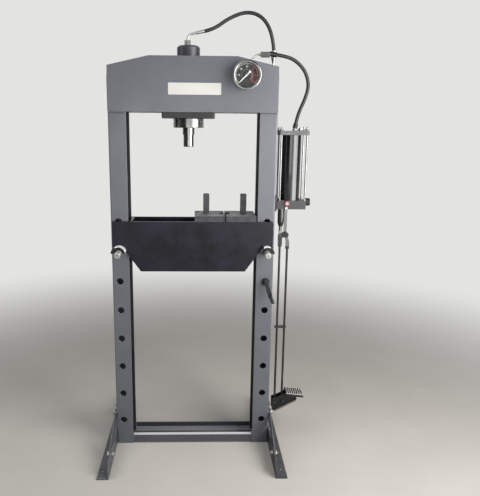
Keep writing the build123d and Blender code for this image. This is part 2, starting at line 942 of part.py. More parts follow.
# Pump hose: from the gauge pipe's fitting, round and down to the pump
pump_hose_route = [
    (half_width - 10, pipe_y, hose_level_z),
    (half_width + 30, -20, hose_level_z - 5),
    (half_width + 73, -16, hose_level_z - 21),
    (half_width + 115, -11, hose_level_z - 60),
    (half_width + 135, -6, hose_level_z - 117),
    (half_width + 123, -2, top_plate_top + 136),
    (outlet_x + 7, 0, top_plate_top + 68),
    (outlet_x, 0, top_plate_top + 29),
]
# Cylinder hose: from the elbow on the cylinder over to the nipple on the beam
cylinder_hose_route = [
    (head_x + 67, 0, cylinder_top + 60),
    (head_x + 105, 0, cylinder_top + 68),
    (head_x + 170, 0, cylinder_top + 114),
    (nipple_x - 112, 0, cylinder_top + 140),
    (nipple_x - 47, 0, cylinder_top + 118),
    (nipple_x - 7, 0, nipple_collar_top + 82),
    (nipple_x, 0, nipple_collar_top + 18),
]
for name, route in (("pump_hose", pump_hose_route), ("cylinder_hose", cylinder_hose_route)):
    radii = bend_radii(route)
    with BuildPart() as hose:
        with BuildLine() as hose_line:
            FilletPolyline(*route, radius=radii)
        with BuildSketch(route_plane(route)):
            Circle(hose_diameter / 2)
        sweep()
    length = sum(edge.length for edge in hose_line.edges())
    tube_volume = math.pi * (hose_diameter / 2) ** 2 * length
    print(name, "length", round(length, 1), "radii", [round(radius) for radius in radii],
          "volume ratio", round(hose.part.volume / tube_volume, 4))
    write(hose, name)

# Fittings of both hoses that stay with the frame, and the oil filler
sleeve_radius = sleeve_diameter / 2
fitting_radius = fitting_diameter / 2
hose_level = (pipe_y, hose_level_z)
with BuildPart() as fittings:
    with BuildSketch(Plane.YZ.offset(pipe_end_x)):
        with Locations(hose_level):
            RegularPolygon(fitting_radius, 6, major_radius=False)
    extrude(amount=fitting_end_x - pipe_end_x)
    with BuildSketch(route_plane(pump_hose_route)):
        Circle(sleeve_radius)
    extrude(amount=-fitting_sleeve_length)
    with BuildSketch(Plane.XZ):
        with BuildLine():
            Polyline(
                (nipple_x, manifold_top),
                (nipple_x + pipe_diameter / 2, manifold_top),
                (nipple_x + pipe_diameter / 2, nipple_cone_bottom),
                (nipple_x + fitting_radius, nipple_cone_top),
                (nipple_x + fitting_radius, nipple_collar_top),
                (nipple_x, nipple_collar_top),
                close=True,
            )
        make_face()
    revolve(axis=Axis((nipple_x, 0, 0), (0, 0, 1)))
    with BuildSketch(end_plane(cylinder_hose_route)):
        Circle(sleeve_radius)
    extrude(amount=-nipple_sleeve_length)
    with BuildSketch(Plane.XY.offset(top_plate_top)):
        with Locations((outlet_x, 0)):
            RegularPolygon(fitting_radius, 6, major_radius=False)
    extrude(amount=outlet_nut_height)
    with BuildSketch(end_plane(pump_hose_route)):
        Circle(sleeve_radius)
    extrude(amount=-outlet_sleeve_length)
    with BuildSketch(Plane.XY.offset(top_plate_top)):
        with Locations((filler_x, filler_y)):
            RegularPolygon(filler_diameter / 2, 6, major_radius=False)
    extrude(amount=filler_height)
write(fittings, "hydraulic_fittings")

# Elbow on top of the cylinder and the hose sleeve that it carries
hose_start = Vector(*cylinder_hose_route[0])
hose_direction = (Vector(*cylinder_hose_route[1]) - hose_start).normalized()
sleeve_start = hose_start - hose_direction * elbow_sleeve_length
elbow_corner = hose_start - hose_direction * ((hose_start.X - elbow_x) / hose_direction.X)
elbow_route = [
    (elbow_x, 0, cylinder_top + elbow_nut_height),
    tuple(elbow_corner),
    tuple(sleeve_start),
]
with BuildPart() as elbow:
    with BuildSketch(Plane.XY.offset(cylinder_top)):
        with Locations((elbow_x, 0)):
            RegularPolygon(elbow_nut_diameter / 2, 6, major_radius=False)
    extrude(amount=elbow_nut_height)
    with BuildLine():
        FilletPolyline(*elbow_route, radius=elbow_bend)
    with BuildSketch(route_plane(elbow_route)):
        Circle(elbow_pipe_diameter / 2)
    sweep()
write(elbow, "cylinder_elbow")

with BuildPart() as sleeve:
    with BuildSketch(route_plane(cylinder_hose_route)):
        Circle(elbow_sleeve_diameter / 2)
    extrude(amount=-elbow_sleeve_length)
write(sleeve, "cylinder_hose_sleeve")

# Pump bracket on the right upright, with its two bolts
bracket_bottom = block_bottom - bracket_below_block
bracket_top = block_top + bracket_above_block
bracket_bolt_z = block_top + bracket_bolt_above_block
with BuildPart() as bracket:
    with BuildSketch(Plane.YZ.offset(half_width)) as bracket_face:
        with Locations((0, (bracket_bottom + bracket_top) / 2)):
            Rectangle(bracket_depth, bracket_top - bracket_bottom)
        fillet(bracket_face.vertices(), upright_corner)
    extrude(amount=bracket_thickness)
    with BuildSketch(Plane.YZ.offset(block_left)):
        with Locations((-bracket_bolt_y, bracket_bolt_z), (bracket_bolt_y, bracket_bolt_z)):
            RegularPolygon(tie_nut_hex / 2, 6, major_radius=False)
    extrude(amount=tie_nut_height)
write(bracket, "pump_bracket")

# Pump block, bored for the release spindle
block_middle = (block_left + block_right) / 2
with BuildPart() as block:
    with BuildSketch(Plane.XY.offset(block_bottom)):
        with Locations((block_middle, 0)):
            Rectangle(block_width, block_depth)
    extrude(amount=block_top - block_bottom)
    fillet(block.edges().filter_by(Axis.Z).group_by(Axis.X)[-1], block_round)
    with BuildSketch(Plane.YZ.offset(block_right)):
        with Locations((0, release_z)):
            Circle(release_spindle_diameter / 2 + running_gap)
    extrude(amount=-(release_spindle_depth + seat_gap), mode=Mode.SUBTRACT)
write(block, "pump_block")

# Reservoir: tube, top plate, tie rods and nuts
with BuildPart() as reservoir:
    with BuildSketch(Plane.XY.offset(block_top)):
        with Locations((reservoir_x, 0)):
            Circle(reservoir_diameter / 2)
            Circle(reservoir_diameter / 2 - reservoir_wall, mode=Mode.SUBTRACT)
    extrude(amount=reservoir_top - block_top)
write(reservoir, "reservoir_tube")

tie_rod_y = block_depth / 2 - tie_rod_inset_y
tie_rod_left = top_plate_left + tie_rod_inset_x
tie_rod_right = block_right - tie_rod_inset_x / 2
tie_rods_at = [(x, y) for x in (tie_rod_left, tie_rod_right) for y in (-tie_rod_y, tie_rod_y)]
with BuildPart() as top_plate:
    with BuildSketch(Plane.XY.offset(reservoir_top)) as top_plate_outline:
        with Locations((top_plate_left + top_plate_width / 2, 0)):
            Rectangle(top_plate_width, block_depth)
        fillet(top_plate_outline.vertices(), upright_corner)
        with Locations(*tie_rods_at):
            Circle(tie_rod_diameter / 2 + screw_gap, mode=Mode.SUBTRACT)
    extrude(amount=top_plate_thickness)
write(top_plate, "reservoir_top_plate")

with BuildPart() as tie_rods:
    with BuildSketch(Plane.XY.offset(block_top)):
        with Locations(*tie_rods_at):
            Circle(tie_rod_diameter / 2)
    extrude(amount=top_plate_top + tie_rod_above - block_top)
write(tie_rods, "tie_rods")

with BuildPart() as tie_nuts:
    with BuildSketch(Plane.XY.offset(top_plate_top)):
        with Locations(*tie_rods_at):
            RegularPolygon(tie_nut_hex / 2, 6, major_radius=False)
            Circle(tie_rod_diameter / 2 + running_gap, mode=Mode.SUBTRACT)
    extrude(amount=tie_nut_height)
write(tie_nuts, "tie_rod_nuts")

# Valve cap and plug on the front of the pump block
with BuildPart() as cap:
    with BuildSketch(front_plane(-block_depth / 2)):
        with Locations((cap_x, cap_z)):
            Circle(cap_diameter / 2)
    extrude(amount=cap_height)
    with BuildSketch(front_plane(-block_depth / 2)):
        with Locations((cap_x - plug_offset, cap_z - plug_drop)):
            Circle(plug_diameter / 2)
    extrude(amount=plug_height)
write(cap, "valve_caps")

# Release valve: spindle and star knob
knob_start = block_right + release_neck
with BuildPart() as spindle:
    with BuildSketch(Plane.YZ.offset(block_right - release_spindle_depth)):
        with Locations((0, release_z)):
            Circle(release_spindle_diameter / 2)
    extrude(amount=release_spindle_depth + release_neck)
write(spindle, "release_spindle")

with BuildPart() as knob:
    with BuildSketch(Plane.YZ.offset(knob_start)):
        with Locations((0, release_z)):
            Circle(release_knob_diameter / 2)
            with PolarLocations(release_knob_diameter / 2 + release_lobe_cut / 2, release_lobes):
                Circle(release_lobe_cut, mode=Mode.SUBTRACT)
    extrude(amount=release_knob_length)
write(knob, "release_knob")

# Pump barrel under the block and the plunger in it
plunger_line = Axis((plunger_x, 0, 0), (0, 0, 1))
barrel_bore = plunger_diameter / 2 + running_gap
with BuildPart() as barrel:
    with BuildSketch(Plane.XZ):
        with BuildLine():
            Polyline(
                (plunger_x + barrel_bore, barrel_bottom),
                (plunger_x + barrel_tip_diameter / 2, barrel_bottom),
                (plunger_x + barrel_diameter / 2, barrel_bottom + barrel_taper),
                (plunger_x + barrel_diameter / 2, block_bottom),
                (plunger_x, block_bottom),
                (plunger_x, barrel_bore_top),
                (plunger_x + barrel_bore, barrel_bore_top),
                close=True,
            )
        make_face()
    revolve(axis=plunger_line)
write(barrel, "pump_barrel")

eye_half = eye_thickness / 2
with BuildPart() as plunger:
    with BuildSketch(Plane.XY.offset(eye_top)):
        with Locations((plunger_x, 0)):
            Circle(plunger_diameter / 2)
    extrude(amount=plunger_top - eye_top)
    with BuildSketch(front_plane(-eye_half)):
        with Locations((plunger_x, crosshead_z)):
            Circle(eye_radius)
        with Locations((plunger_x, (crosshead_z + eye_top) / 2)):
            Rectangle(2 * eye_radius, eye_top - crosshead_z)
        with Locations((plunger_x, crosshead_z)):
            Circle(crosshead_pin_diameter / 2 + running_gap, mode=Mode.SUBTRACT)
    extrude(amount=-eye_thickness)
write(plunger, "pump_plunger")

# Rocker: two plates on a bolt through the hanger, slotted for the crosshead pin
rocker_inner = eye_half + seat_gap
rocker_outer = rocker_inner + rocker_plate
rocker_arm = Vector(plunger_x - rocker_x, crosshead_z - rocker_z)
rocker_angle = math.degrees(math.atan2(rocker_arm.Y, rocker_arm.X))
slot_spread = rocker_arm.length - abs(rocker_arm.X)
slot_middle = rocker_arm.length - slot_spread / 2
rocker_front = turned_plane((rocker_x, 0, rocker_z), rocker_angle)
with BuildPart() as rocker:
    for start in (rocker_inner, -rocker_outer):
        with BuildSketch(rocker_front.offset(start)):
            Circle(rocker_hub_radius)
            with Locations((rocker_arm.length, 0)):
                Circle(rocker_tip_radius)
            make_hull()
            Circle(rocker_bolt_diameter / 2 + running_gap, mode=Mode.SUBTRACT)
            with Locations((slot_middle, 0)):
                SlotOverall(crosshead_pin_diameter + slot_spread + 3 * seat_gap,
                            crosshead_pin_diameter + 2 * seat_gap, mode=Mode.SUBTRACT)
        extrude(amount=rocker_plate)
write(rocker, "pump_rocker")

# Hanger: bar from the block down to the rocker bolt and the stay rod
with BuildPart() as hanger:
    with BuildSketch(front_plane(-eye_half)):
        with Locations((hanger_bar_left + hanger_bar_width / 2, (block_bottom + rocker_z) / 2)):
            Rectangle(hanger_bar_width, block_bottom - rocker_z)
        with Locations((rocker_x, rocker_z)):
            Circle(hanger_boss_radius)
        with BuildLine():
            Polyline(
                (rocker_x - hanger_foot_half / 2, rocker_z),
                (rocker_x + hanger_foot_half, rocker_z),
                (stay_x + hanger_foot_half, hanger_foot_top),
                (stay_x + hanger_foot_half, hanger_foot_bottom),
                (stay_x - hanger_foot_half, hanger_foot_bottom),
                (stay_x - hanger_foot_half, hanger_foot_top),
                close=True,
            )
        make_face()
        with Locations((rocker_x, rocker_z)):
            Circle(rocker_bolt_diameter / 2 + running_gap, mode=Mode.SUBTRACT)
    extrude(amount=-eye_thickness)
write(hanger, "pump_hanger")

# Push rod: fork on the crosshead pin above, eye in the pedal below
fork_inner = rocker_outer + seat_gap
fork_outer = fork_inner + fork_limb
with BuildPart() as push_rod:
    for start in (fork_inner, -fork_outer):
        with BuildSketch(front_plane(-start)):
            with Locations((plunger_x, crosshead_z)):
                Circle(fork_half_width)
            with Locations((plunger_x, (crosshead_z + fork_bridge_bottom) / 2)):
                Rectangle(2 * fork_half_width, crosshead_z - fork_bridge_bottom)
            with Locations((plunger_x, crosshead_z)):
                Circle(crosshead_pin_diameter / 2 + running_gap, mode=Mode.SUBTRACT)
        extrude(amount=fork_limb)
    with BuildSketch(Plane.XY.offset(fork_bridge_bottom)):
        with Locations((plunger_x, 0)):
            Rectangle(2 * fork_half_width, 2 * fork_outer)
    extrude(amount=fork_bridge_top - fork_bridge_bottom)
    with BuildSketch(Plane.XY.offset(push_eye_z)):
        with Locations((plunger_x, 0)):
            Circle(rod_diameter / 2)
    extrude(amount=fork_bridge_bottom - push_eye_z)
    with BuildSketch(Plane.XY.offset(fork_bridge_bottom)):
        with Locations((plunger_x, 0)):
            RegularPolygon(rod_nut_hex / 2, 6, major_radius=False)
    extrude(amount=-rod_nut_height)
    with BuildSketch(front_plane(-push_eye_thickness / 2)):
        with Locations((plunger_x, push_eye_z)):
            Circle(push_eye_radius)
    extrude(amount=-push_eye_thickness)
    with BuildSketch(front_plane(-push_eye_thickness / 2)):
        with Locations((plunger_x, push_eye_z)):
            Circle(crosshead_pin_diameter / 2 + running_gap)
    extrude(amount=-push_eye_thickness, mode=Mode.SUBTRACT)
write(push_rod, "push_rod")

cheek_inner = cheek_half_gap
cheek_outer = cheek_half_gap + cheek_wall
with BuildPart() as rod_pins:
    with BuildSketch(front_plane(-fork_outer)):
        with Locations((plunger_x, crosshead_z)):
            Circle(crosshead_pin_diameter / 2)
    extrude(amount=-2 * fork_outer)
    with BuildSketch(front_plane(-cheek_outer)):
        with Locations((plunger_x, push_eye_z)):
            Circle(crosshead_pin_diameter / 2)
    extrude(amount=-2 * cheek_outer)
write(rod_pins, "push_rod_pins")

# Stay rod: from the hanger's foot down to the pedal's pivot
with BuildPart() as stay_rod:
    with BuildSketch(Plane.XY.offset(pedal_pivot_z)):
        with Locations((stay_x, 0)):
            Circle(rod_diameter / 2)
    extrude(amount=hanger_foot_bottom - pedal_pivot_z)
    with BuildSketch(Plane.XY.offset(hanger_foot_bottom)):
        with Locations((stay_x, 0)):
            RegularPolygon(rod_nut_hex / 2, 6, major_radius=False)
    extrude(amount=-rod_nut_height)
    with BuildSketch(front_plane(-(cheek_inner - seat_gap))):
        with Locations((stay_x, pedal_pivot_z)):
            Circle(push_eye_radius)
    extrude(amount=-2 * (cheek_inner - seat_gap))
    with BuildSketch(front_plane(-cheek_inner)):
        with Locations((stay_x, pedal_pivot_z)):
            Circle(pedal_pivot_diameter / 2 + running_gap)
    extrude(amount=-2 * cheek_inner, mode=Mode.SUBTRACT)
write(stay_rod, "stay_rod")

with BuildPart() as clip:
    with BuildSketch(Plane.XY.offset(clip_z - clip_height / 2)) as clip_outline:
        with Locations(((clip_left + clip_right) / 2, 0)):
            Rectangle(clip_right - clip_left, 2 * clip_half_depth)
        fillet(clip_outline.vertices(), clip_half_depth / 2)
        with Locations((plunger_x, 0)):
            Circle(rod_diameter / 2 + seat_gap, mode=Mode.SUBTRACT)
        with Locations((stay_x, 0)):
            Circle(rod_diameter / 2 + running_gap, mode=Mode.SUBTRACT)
    extrude(amount=clip_height)
write(clip, "rod_clip")

# Bolts that the rocker and the pedal turn on
with BuildPart() as pivots:
    for x, z, reach, shank, head in (
        (rocker_x, rocker_z, rocker_outer + seat_gap, rocker_bolt_diameter, rocker_bolt_head_diameter),
        (stay_x, pedal_pivot_z, cheek_outer + seat_gap, pedal_pivot_diameter, rod_nut_hex),
    ):
        with BuildSketch(front_plane(-reach)):
            with Locations((x, z)):
                Circle(shank / 2)
        extrude(amount=-2 * reach)
        with BuildSketch(front_plane(-reach)):
            with Locations((x, z)):
                Circle(head / 2)
        extrude(amount=rocker_bolt_head)
        with BuildSketch(front_plane(reach)):
            with Locations((x, z)):
                RegularPolygon(rod_nut_hex / 2, 6, major_radius=False)
        extrude(amount=-rocker_bolt_head)
write(pivots, "linkage_bolts")

# Pedal: arm of two cheeks on a base strip, and the ribbed tread
tread_slope = math.tan(math.radians(tread_tilt))
tread_under = tread_thickness / math.cos(math.radians(tread_tilt)) + seat_gap


def tread_underside(x):
    return tread_left_z - tread_under - (x - tread_left) * tread_slope


cheek_low_x = stay_x - cheek_low_run
cheek_low_z = pedal_pivot_z - cheek_low_drop
cheek_right_x = stay_x + cheek_right_run
cheek_right_z = pedal_pivot_z + cheek_right_rise
cheek_outline = [
    (stay_x - cheek_end_run, pedal_pivot_z - cheek_end_drop),
    (cheek_low_x, cheek_low_z),
    (cheek_right_x, cheek_right_z),
    (cheek_right_x, tread_underside(cheek_right_x)),
    (tread_left, tread_underside(tread_left)),
    (stay_x - cheek_knee_run, pedal_pivot_z + cheek_knee_rise),
    (stay_x - cheek_end_run, pedal_pivot_z + cheek_end_rise),
]
with BuildPart() as pedal_arm:
    for start in (cheek_inner, -cheek_outer):
        with BuildSketch(front_plane(-start)):
            with BuildLine():
                Polyline(*cheek_outline, close=True)
            make_face()
            with Locations((stay_x, pedal_pivot_z)):
                Circle(pedal_pivot_diameter / 2 + running_gap, mode=Mode.SUBTRACT)
            with Locations((plunger_x, push_eye_z)):
                SlotOverall(crosshead_pin_diameter + 8 * seat_gap,
                            crosshead_pin_diameter + 2 * seat_gap, mode=Mode.SUBTRACT)
        extrude(amount=cheek_wall)
    base_run = Vector(cheek_right_x - cheek_low_x, cheek_right_z - cheek_low_z)
    base_plane = Plane(origin=(cheek_low_x, 0, cheek_low_z), x_dir=(base_run.X, 0, base_run.Y),
                       z_dir=(0, -1, 0))
    with BuildSketch(base_plane.offset(-lip_half_width)):
        with Locations((base_run.length / 2, cheek_wall / 2)):
            Rectangle(base_run.length, cheek_wall)
    extrude(amount=2 * lip_half_width)
write(pedal_arm, "pedal_arm")

tread_plane = Plane(origin=(tread_left, 0, tread_left_z), x_dir=(1, 0, -tread_slope),
                    z_dir=(tread_slope, 0, 1))
tread_core = tread_plane.offset(-tread_thickness)
rib_pitch = tread_width / tread_rib_count
with BuildPart() as tread:
    with BuildSketch(tread_core):
        with Locations((tread_width / 2, 0)):
            Rectangle(tread_width, tread_depth)
    extrude(amount=tread_thickness)
    with BuildSketch(tread_core):
        for y in (-tread_depth / 2 + tread_thickness / 2, tread_depth / 2 - tread_thickness / 2):
            with Locations((tread_width / 2, y)):
                Rectangle(tread_width, tread_thickness)
    extrude(amount=-(tread_lip - tread_thickness))
    with BuildSketch(tread_plane):
        with Locations(*[(rib_pitch * (i + 0.5), 0) for i in range(tread_rib_count)]):
            Rectangle(tread_rib_width, tread_depth - 2 * tread_thickness)
    extrude(amount=tread_rib_height)
write(tread, "pedal_tread")

# Crank: bushes in the upright, axle with drum and arm, turning handle
bush_bore = crank_axle_diameter / 2 + running_gap
bush_radius = hole_diameter / 2 - running_gap
with BuildPart() as bushes:
    for face in (-1, 1):
        with BuildSketch(front_plane(face * half_depth)):
            with Locations((hole_x, crank_z)):
                Circle(bush_radius)
                Circle(bush_bore, mode=Mode.SUBTRACT)
        extrude(amount=face * upright_wall)
        with BuildSketch(front_plane(face * half_depth)):
            with Locations((hole_x, crank_z)):
                Circle(bush_collar_diameter / 2)
                Circle(bush_bore, mode=Mode.SUBTRACT)
        extrude(amount=-face * bush_collar)
write(bushes, "crank_bushes")

arm_front = half_depth + crank_front_reach
arm_plane = turned_plane((hole_x, -arm_front, crank_z), crank_arm_angle)
with BuildPart() as crank:
    with BuildSketch(front_plane(-arm_front)):
        with Locations((hole_x, crank_z)):
            Circle(crank_axle_diameter / 2)
    extrude(amount=-(arm_front + half_depth + crank_back_reach))
    with BuildSketch(front_plane(-crank_drum_width / 2)):
        with Locations((hole_x, crank_z)):
            Circle(crank_drum_diameter / 2)
    extrude(amount=-crank_drum_width)
    for start in (crank_drum_width / 2, -crank_drum_width / 2 + crank_flange_wall):
        with BuildSketch(front_plane(-start)):
            with Locations((hole_x, crank_z)):
                Circle(crank_flange_diameter / 2)
        extrude(amount=-crank_flange_wall)
    with BuildSketch(arm_plane):
        with Locations((crank_arm_length / 2, 0)):
            SlotCenterToCenter(crank_arm_length, crank_arm_width)
    extrude(amount=-crank_arm_wall)
    with BuildSketch(arm_plane):
        with Locations((crank_arm_length, 0)):
            Circle(crank_pin_diameter / 2)
    extrude(amount=crank_handle_length - crank_handle_round)
write(crank, "crank")

with BuildPart() as handle:
    with BuildSketch(arm_plane.offset(seat_gap)):
        with Locations((crank_arm_length, 0)):
            Circle(crank_handle_diameter / 2)
    extrude(amount=crank_handle_length)
    fillet(handle.edges().group_by(Axis.Y)[0], crank_handle_round)
    with BuildSketch(arm_plane):
        with Locations((crank_arm_length, 0)):
            Circle(crank_pin_diameter / 2 + running_gap)
    extrude(amount=crank_handle_length - crank_handle_round + seat_gap, mode=Mode.SUBTRACT)
write(handle, "crank_handle")
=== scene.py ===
"""Looks of a floor-standing hydraulic workshop press with a foot pump, in metres."""
import math
import random

import bmesh
import bpy
from mathutils import Matrix, Vector


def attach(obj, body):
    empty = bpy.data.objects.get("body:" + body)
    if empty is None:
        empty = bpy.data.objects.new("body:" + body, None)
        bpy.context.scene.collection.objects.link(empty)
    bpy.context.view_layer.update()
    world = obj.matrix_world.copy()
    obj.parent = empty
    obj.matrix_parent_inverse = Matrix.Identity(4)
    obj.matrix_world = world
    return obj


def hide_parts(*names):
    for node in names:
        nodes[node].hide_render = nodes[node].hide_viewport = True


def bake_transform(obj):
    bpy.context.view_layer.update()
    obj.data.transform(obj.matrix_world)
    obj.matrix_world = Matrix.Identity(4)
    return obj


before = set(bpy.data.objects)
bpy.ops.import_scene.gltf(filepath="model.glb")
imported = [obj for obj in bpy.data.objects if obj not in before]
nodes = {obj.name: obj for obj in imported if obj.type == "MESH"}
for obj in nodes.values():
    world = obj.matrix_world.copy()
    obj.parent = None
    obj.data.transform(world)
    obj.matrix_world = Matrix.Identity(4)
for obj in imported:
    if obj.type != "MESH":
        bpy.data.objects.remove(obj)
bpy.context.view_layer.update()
random.seed(7)

# Camera, as the photograph was taken
CAMERA_PLACE = (0.0168, -2.3998, 1.4520)
CAMERA_YAW = 0.0257
CAMERA_PITCH = 0.2098
CAMERA_ROLL = 0.0078
CAMERA_REACH = 60
PHOTO_WIDTH = 480
PHOTO_HEIGHT = 496
FOCAL_PIXELS = 546.27
CENTRE_X_PIXEL = 210.6
CENTRE_Y_PIXEL = 245.7
SENSOR_HEIGHT = 36.0

# Routes of the two hydraulic hoses, as in the part
HOSE_DIAMETER = 0.015
PUMP_HOSE_ROUTE = [
    (0.345, -0.022, 1.757),
    (0.385, -0.020, 1.752),
    (0.428, -0.016, 1.736),
    (0.470, -0.011, 1.697),
    (0.490, -0.006, 1.640),
    (0.478, -0.002, 1.585),
    (0.448, 0.0, 1.517),
    (0.441, 0.0, 1.478),
]
CYLINDER_HOSE_ROUTE = [
    (0.047, 0.0, 1.850),
    (0.085, 0.0, 1.858),
    (0.150, 0.0, 1.904),
    (0.225, 0.0, 1.930),
    (0.290, 0.0, 1.908),
    (0.330, 0.0, 1.840),
    (0.337, 0.0, 1.776),
]

# Axes of the two bed pins, left and right of the middle
PIN_X = 0.322
PIN_Z = 0.9243


def scene_object(name, data):
    """An object in the scene that shows a mesh, curve, lamp or camera."""
    made = bpy.data.objects.new(name, data)
    bpy.context.scene.collection.objects.link(made)
    return made


def add_camera():
    """The camera at the photograph's place, angle and framing."""
    camera_data = bpy.data.cameras.new("camera")
    camera_data.sensor_fit = "VERTICAL"
    camera_data.sensor_height = SENSOR_HEIGHT
    camera_data.lens = FOCAL_PIXELS * SENSOR_HEIGHT / PHOTO_HEIGHT
    camera_data.shift_x = (PHOTO_WIDTH / 2 - CENTRE_X_PIXEL) / PHOTO_HEIGHT
    camera_data.shift_y = (CENTRE_Y_PIXEL - PHOTO_HEIGHT / 2) / PHOTO_HEIGHT
    camera_data.clip_end = CAMERA_REACH
    camera = scene_object("camera", camera_data)
    ahead = Vector((
        math.sin(CAMERA_YAW) * math.cos(CAMERA_PITCH),
        math.cos(CAMERA_YAW) * math.cos(CAMERA_PITCH),
        -math.sin(CAMERA_PITCH),
    ))
    level_right = Vector((math.cos(CAMERA_YAW), -math.sin(CAMERA_YAW), 0))
    level_up = level_right.cross(ahead)
    right = level_right * math.cos(CAMERA_ROLL) + level_up * math.sin(CAMERA_ROLL)
    up = level_up * math.cos(CAMERA_ROLL) - level_right * math.sin(CAMERA_ROLL)
    turn = Matrix((right, up, -ahead)).transposed().to_4x4()
    camera.matrix_world = Matrix.Translation(CAMERA_PLACE) @ turn
    bpy.context.scene.camera = camera


# Shader helpers

def node(tree, kind, inputs=None, **settings):
    """A shader node; an input that is given a socket is linked, any other is set."""
    made = tree.nodes.new(kind)
    for name, value in settings.items():
        setattr(made, name, value)
    for name, value in (inputs or {}).items():
        if isinstance(value, bpy.types.NodeSocket):
            tree.links.new(value, made.inputs[name])
        else:
            made.inputs[name].default_value = value
    return made


def maths(tree, operation, first, second=0.0, clamp=False):
    """Output of a Math node."""
    made = node(tree, "ShaderNodeMath", {0: first, 1: second}, operation=operation, use_clamp=clamp)
    return made.outputs[0]


def plus(tree, first, second, clamp=False):
    """Sum of two values."""
    return maths(tree, "ADD", first, second, clamp)


def times(tree, first, second, clamp=False):
    """Product of two values."""
    return maths(tree, "MULTIPLY", first, second, clamp)


def object_place(tree):
    """Object coordinates."""
    return node(tree, "ShaderNodeTexCoord").outputs["Object"]


def split(tree, vector):
    """X, Y and Z of a vector."""
    return node(tree, "ShaderNodeSeparateXYZ", {"Vector": vector}).outputs


def blend_colours(tree, share, first, second):
    """Output of a colour Mix node; a colour that isn't linked is (r, g, b)."""
    made = node(tree, "ShaderNodeMix", {0: share}, data_type="RGBA")
    for index, colour in ((6, first), (7, second)):
        if isinstance(colour, bpy.types.NodeSocket):
            tree.links.new(colour, made.inputs[index])
        else:
            made.inputs[index].default_value = (*colour, 1)
    return made.outputs[2]


def ramp(tree, value, low, high):
    """Value mapped from low..high to 0..1 with smooth ends."""
    made = node(tree, "ShaderNodeMapRange", {"Value": value, "From Min": low, "From Max": high},
                interpolation_type="SMOOTHSTEP")
    return made.outputs["Result"]


def noise(tree, place, scale, detail=3.0, roughness=0.55):
    """Factor of a noise texture."""
    made = node(tree, "ShaderNodeTexNoise",
                {"Vector": place, "Scale": scale, "Detail": detail, "Roughness": roughness})
    return made.outputs["Fac"]


def new_group(name, inputs, outputs):
    """A shader group with its sockets, and its input and output nodes."""
    group = bpy.data.node_groups.new(name, "ShaderNodeTree")
    for label, kind, value in inputs:
        socket = group.interface.new_socket(label, in_out="INPUT", socket_type=kind)
        socket.default_value = value
    for label, kind in outputs:
        group.interface.new_socket(label, in_out="OUTPUT", socket_type=kind)
    return group, group.nodes.new("NodeGroupInput"), group.nodes.new("NodeGroupOutput")


def use_group(tree, group, **inputs):
    """A placed group, with its inputs set by name; an underscore stands for a space."""
    placed = tree.nodes.new("ShaderNodeGroup")
    placed.node_tree = group
    for name, value in inputs.items():
        label = name.replace("_", " ")
        if isinstance(value, bpy.types.NodeSocket):
            tree.links.new(value, placed.inputs[label])
        else:
            placed.inputs[label].default_value = value
    return placed


# Effects that several materials share

def make_edge_group():
    """Rounded normals at edges, and a mask of where the edge is rubbed."""
    group, given, result = new_group(
        "rubbed_edges",
        [("Radius", "NodeSocketFloat", 0.0015), ("Rub", "NodeSocketFloat", 0.5)],
        [("Normal", "NodeSocketVector"), ("Edge", "NodeSocketFloat")],
    )
    rounded = node(group, "ShaderNodeBevel", {"Radius": given.outputs["Radius"]}, samples=6)
    flat = node(group, "ShaderNodeNewGeometry").outputs["Normal"]
    facing = node(group, "ShaderNodeVectorMath", {0: rounded.outputs["Normal"], 1: flat},
                  operation="DOT_PRODUCT")
    bend = maths(group, "SUBTRACT", 1.0, facing.outputs["Value"])
    patches = noise(group, object_place(group), scale=45.0, detail=5.0, roughness=0.7)
    patchy = times(group, ramp(group, bend, low=0.01, high=0.22),
                   ramp(group, patches, low=0.35, high=0.7))
    rubbed = times(group, patchy, given.outputs["Rub"], clamp=True)
    group.links.new(rounded.outputs["Normal"], result.inputs["Normal"])
    group.links.new(rubbed, result.inputs["Edge"])
    return group


def make_patch_group():
    """Slow uneven patches and small specks, for colour and roughness."""
    group, given, result = new_group(
        "uneven_patches",
        [("Size", "NodeSocketFloat", 0.12), ("Speck Size", "NodeSocketFloat", 0.004)],
        [("Patch", "NodeSocketFloat"), ("Speck", "NodeSocketFloat")],
    )
    place = object_place(group)
    patch_scale = maths(group, "DIVIDE", 1.0, given.outputs["Size"])
    speck_scale = maths(group, "DIVIDE", 1.0, given.outputs["Speck Size"])
    patch = noise(group, place, patch_scale, detail=4.0, roughness=0.6)
    speck = noise(group, place, speck_scale, detail=2.0, roughness=0.5)
    group.links.new(ramp(group, patch, low=0.3, high=0.7), result.inputs["Patch"])
    group.links.new(ramp(group, speck, low=0.4, high=0.75), result.inputs["Speck"])
    return group


def make_dust_group():
    """Workshop dust on faces that look up, which also lightens the tops as painted light from
    above.
    """
    group, given, result = new_group(
        "top_dust_and_light",
        [("Amount", "NodeSocketFloat", 0.3)],
        [("Dust And Top Light", "NodeSocketFloat")],
    )
    upward = split(group, node(group, "ShaderNodeNewGeometry").outputs["Normal"])["Z"]
    clouds = noise(group, object_place(group), scale=28.0)
    cover = times(group, ramp(group, upward, low=0.5, high=1.0),
                  ramp(group, clouds, low=0.25, high=0.75))
    dust_and_top_light = times(group, cover, given.outputs["Amount"], clamp=True)
    group.links.new(dust_and_top_light, result.inputs["Dust And Top Light"])
    return group


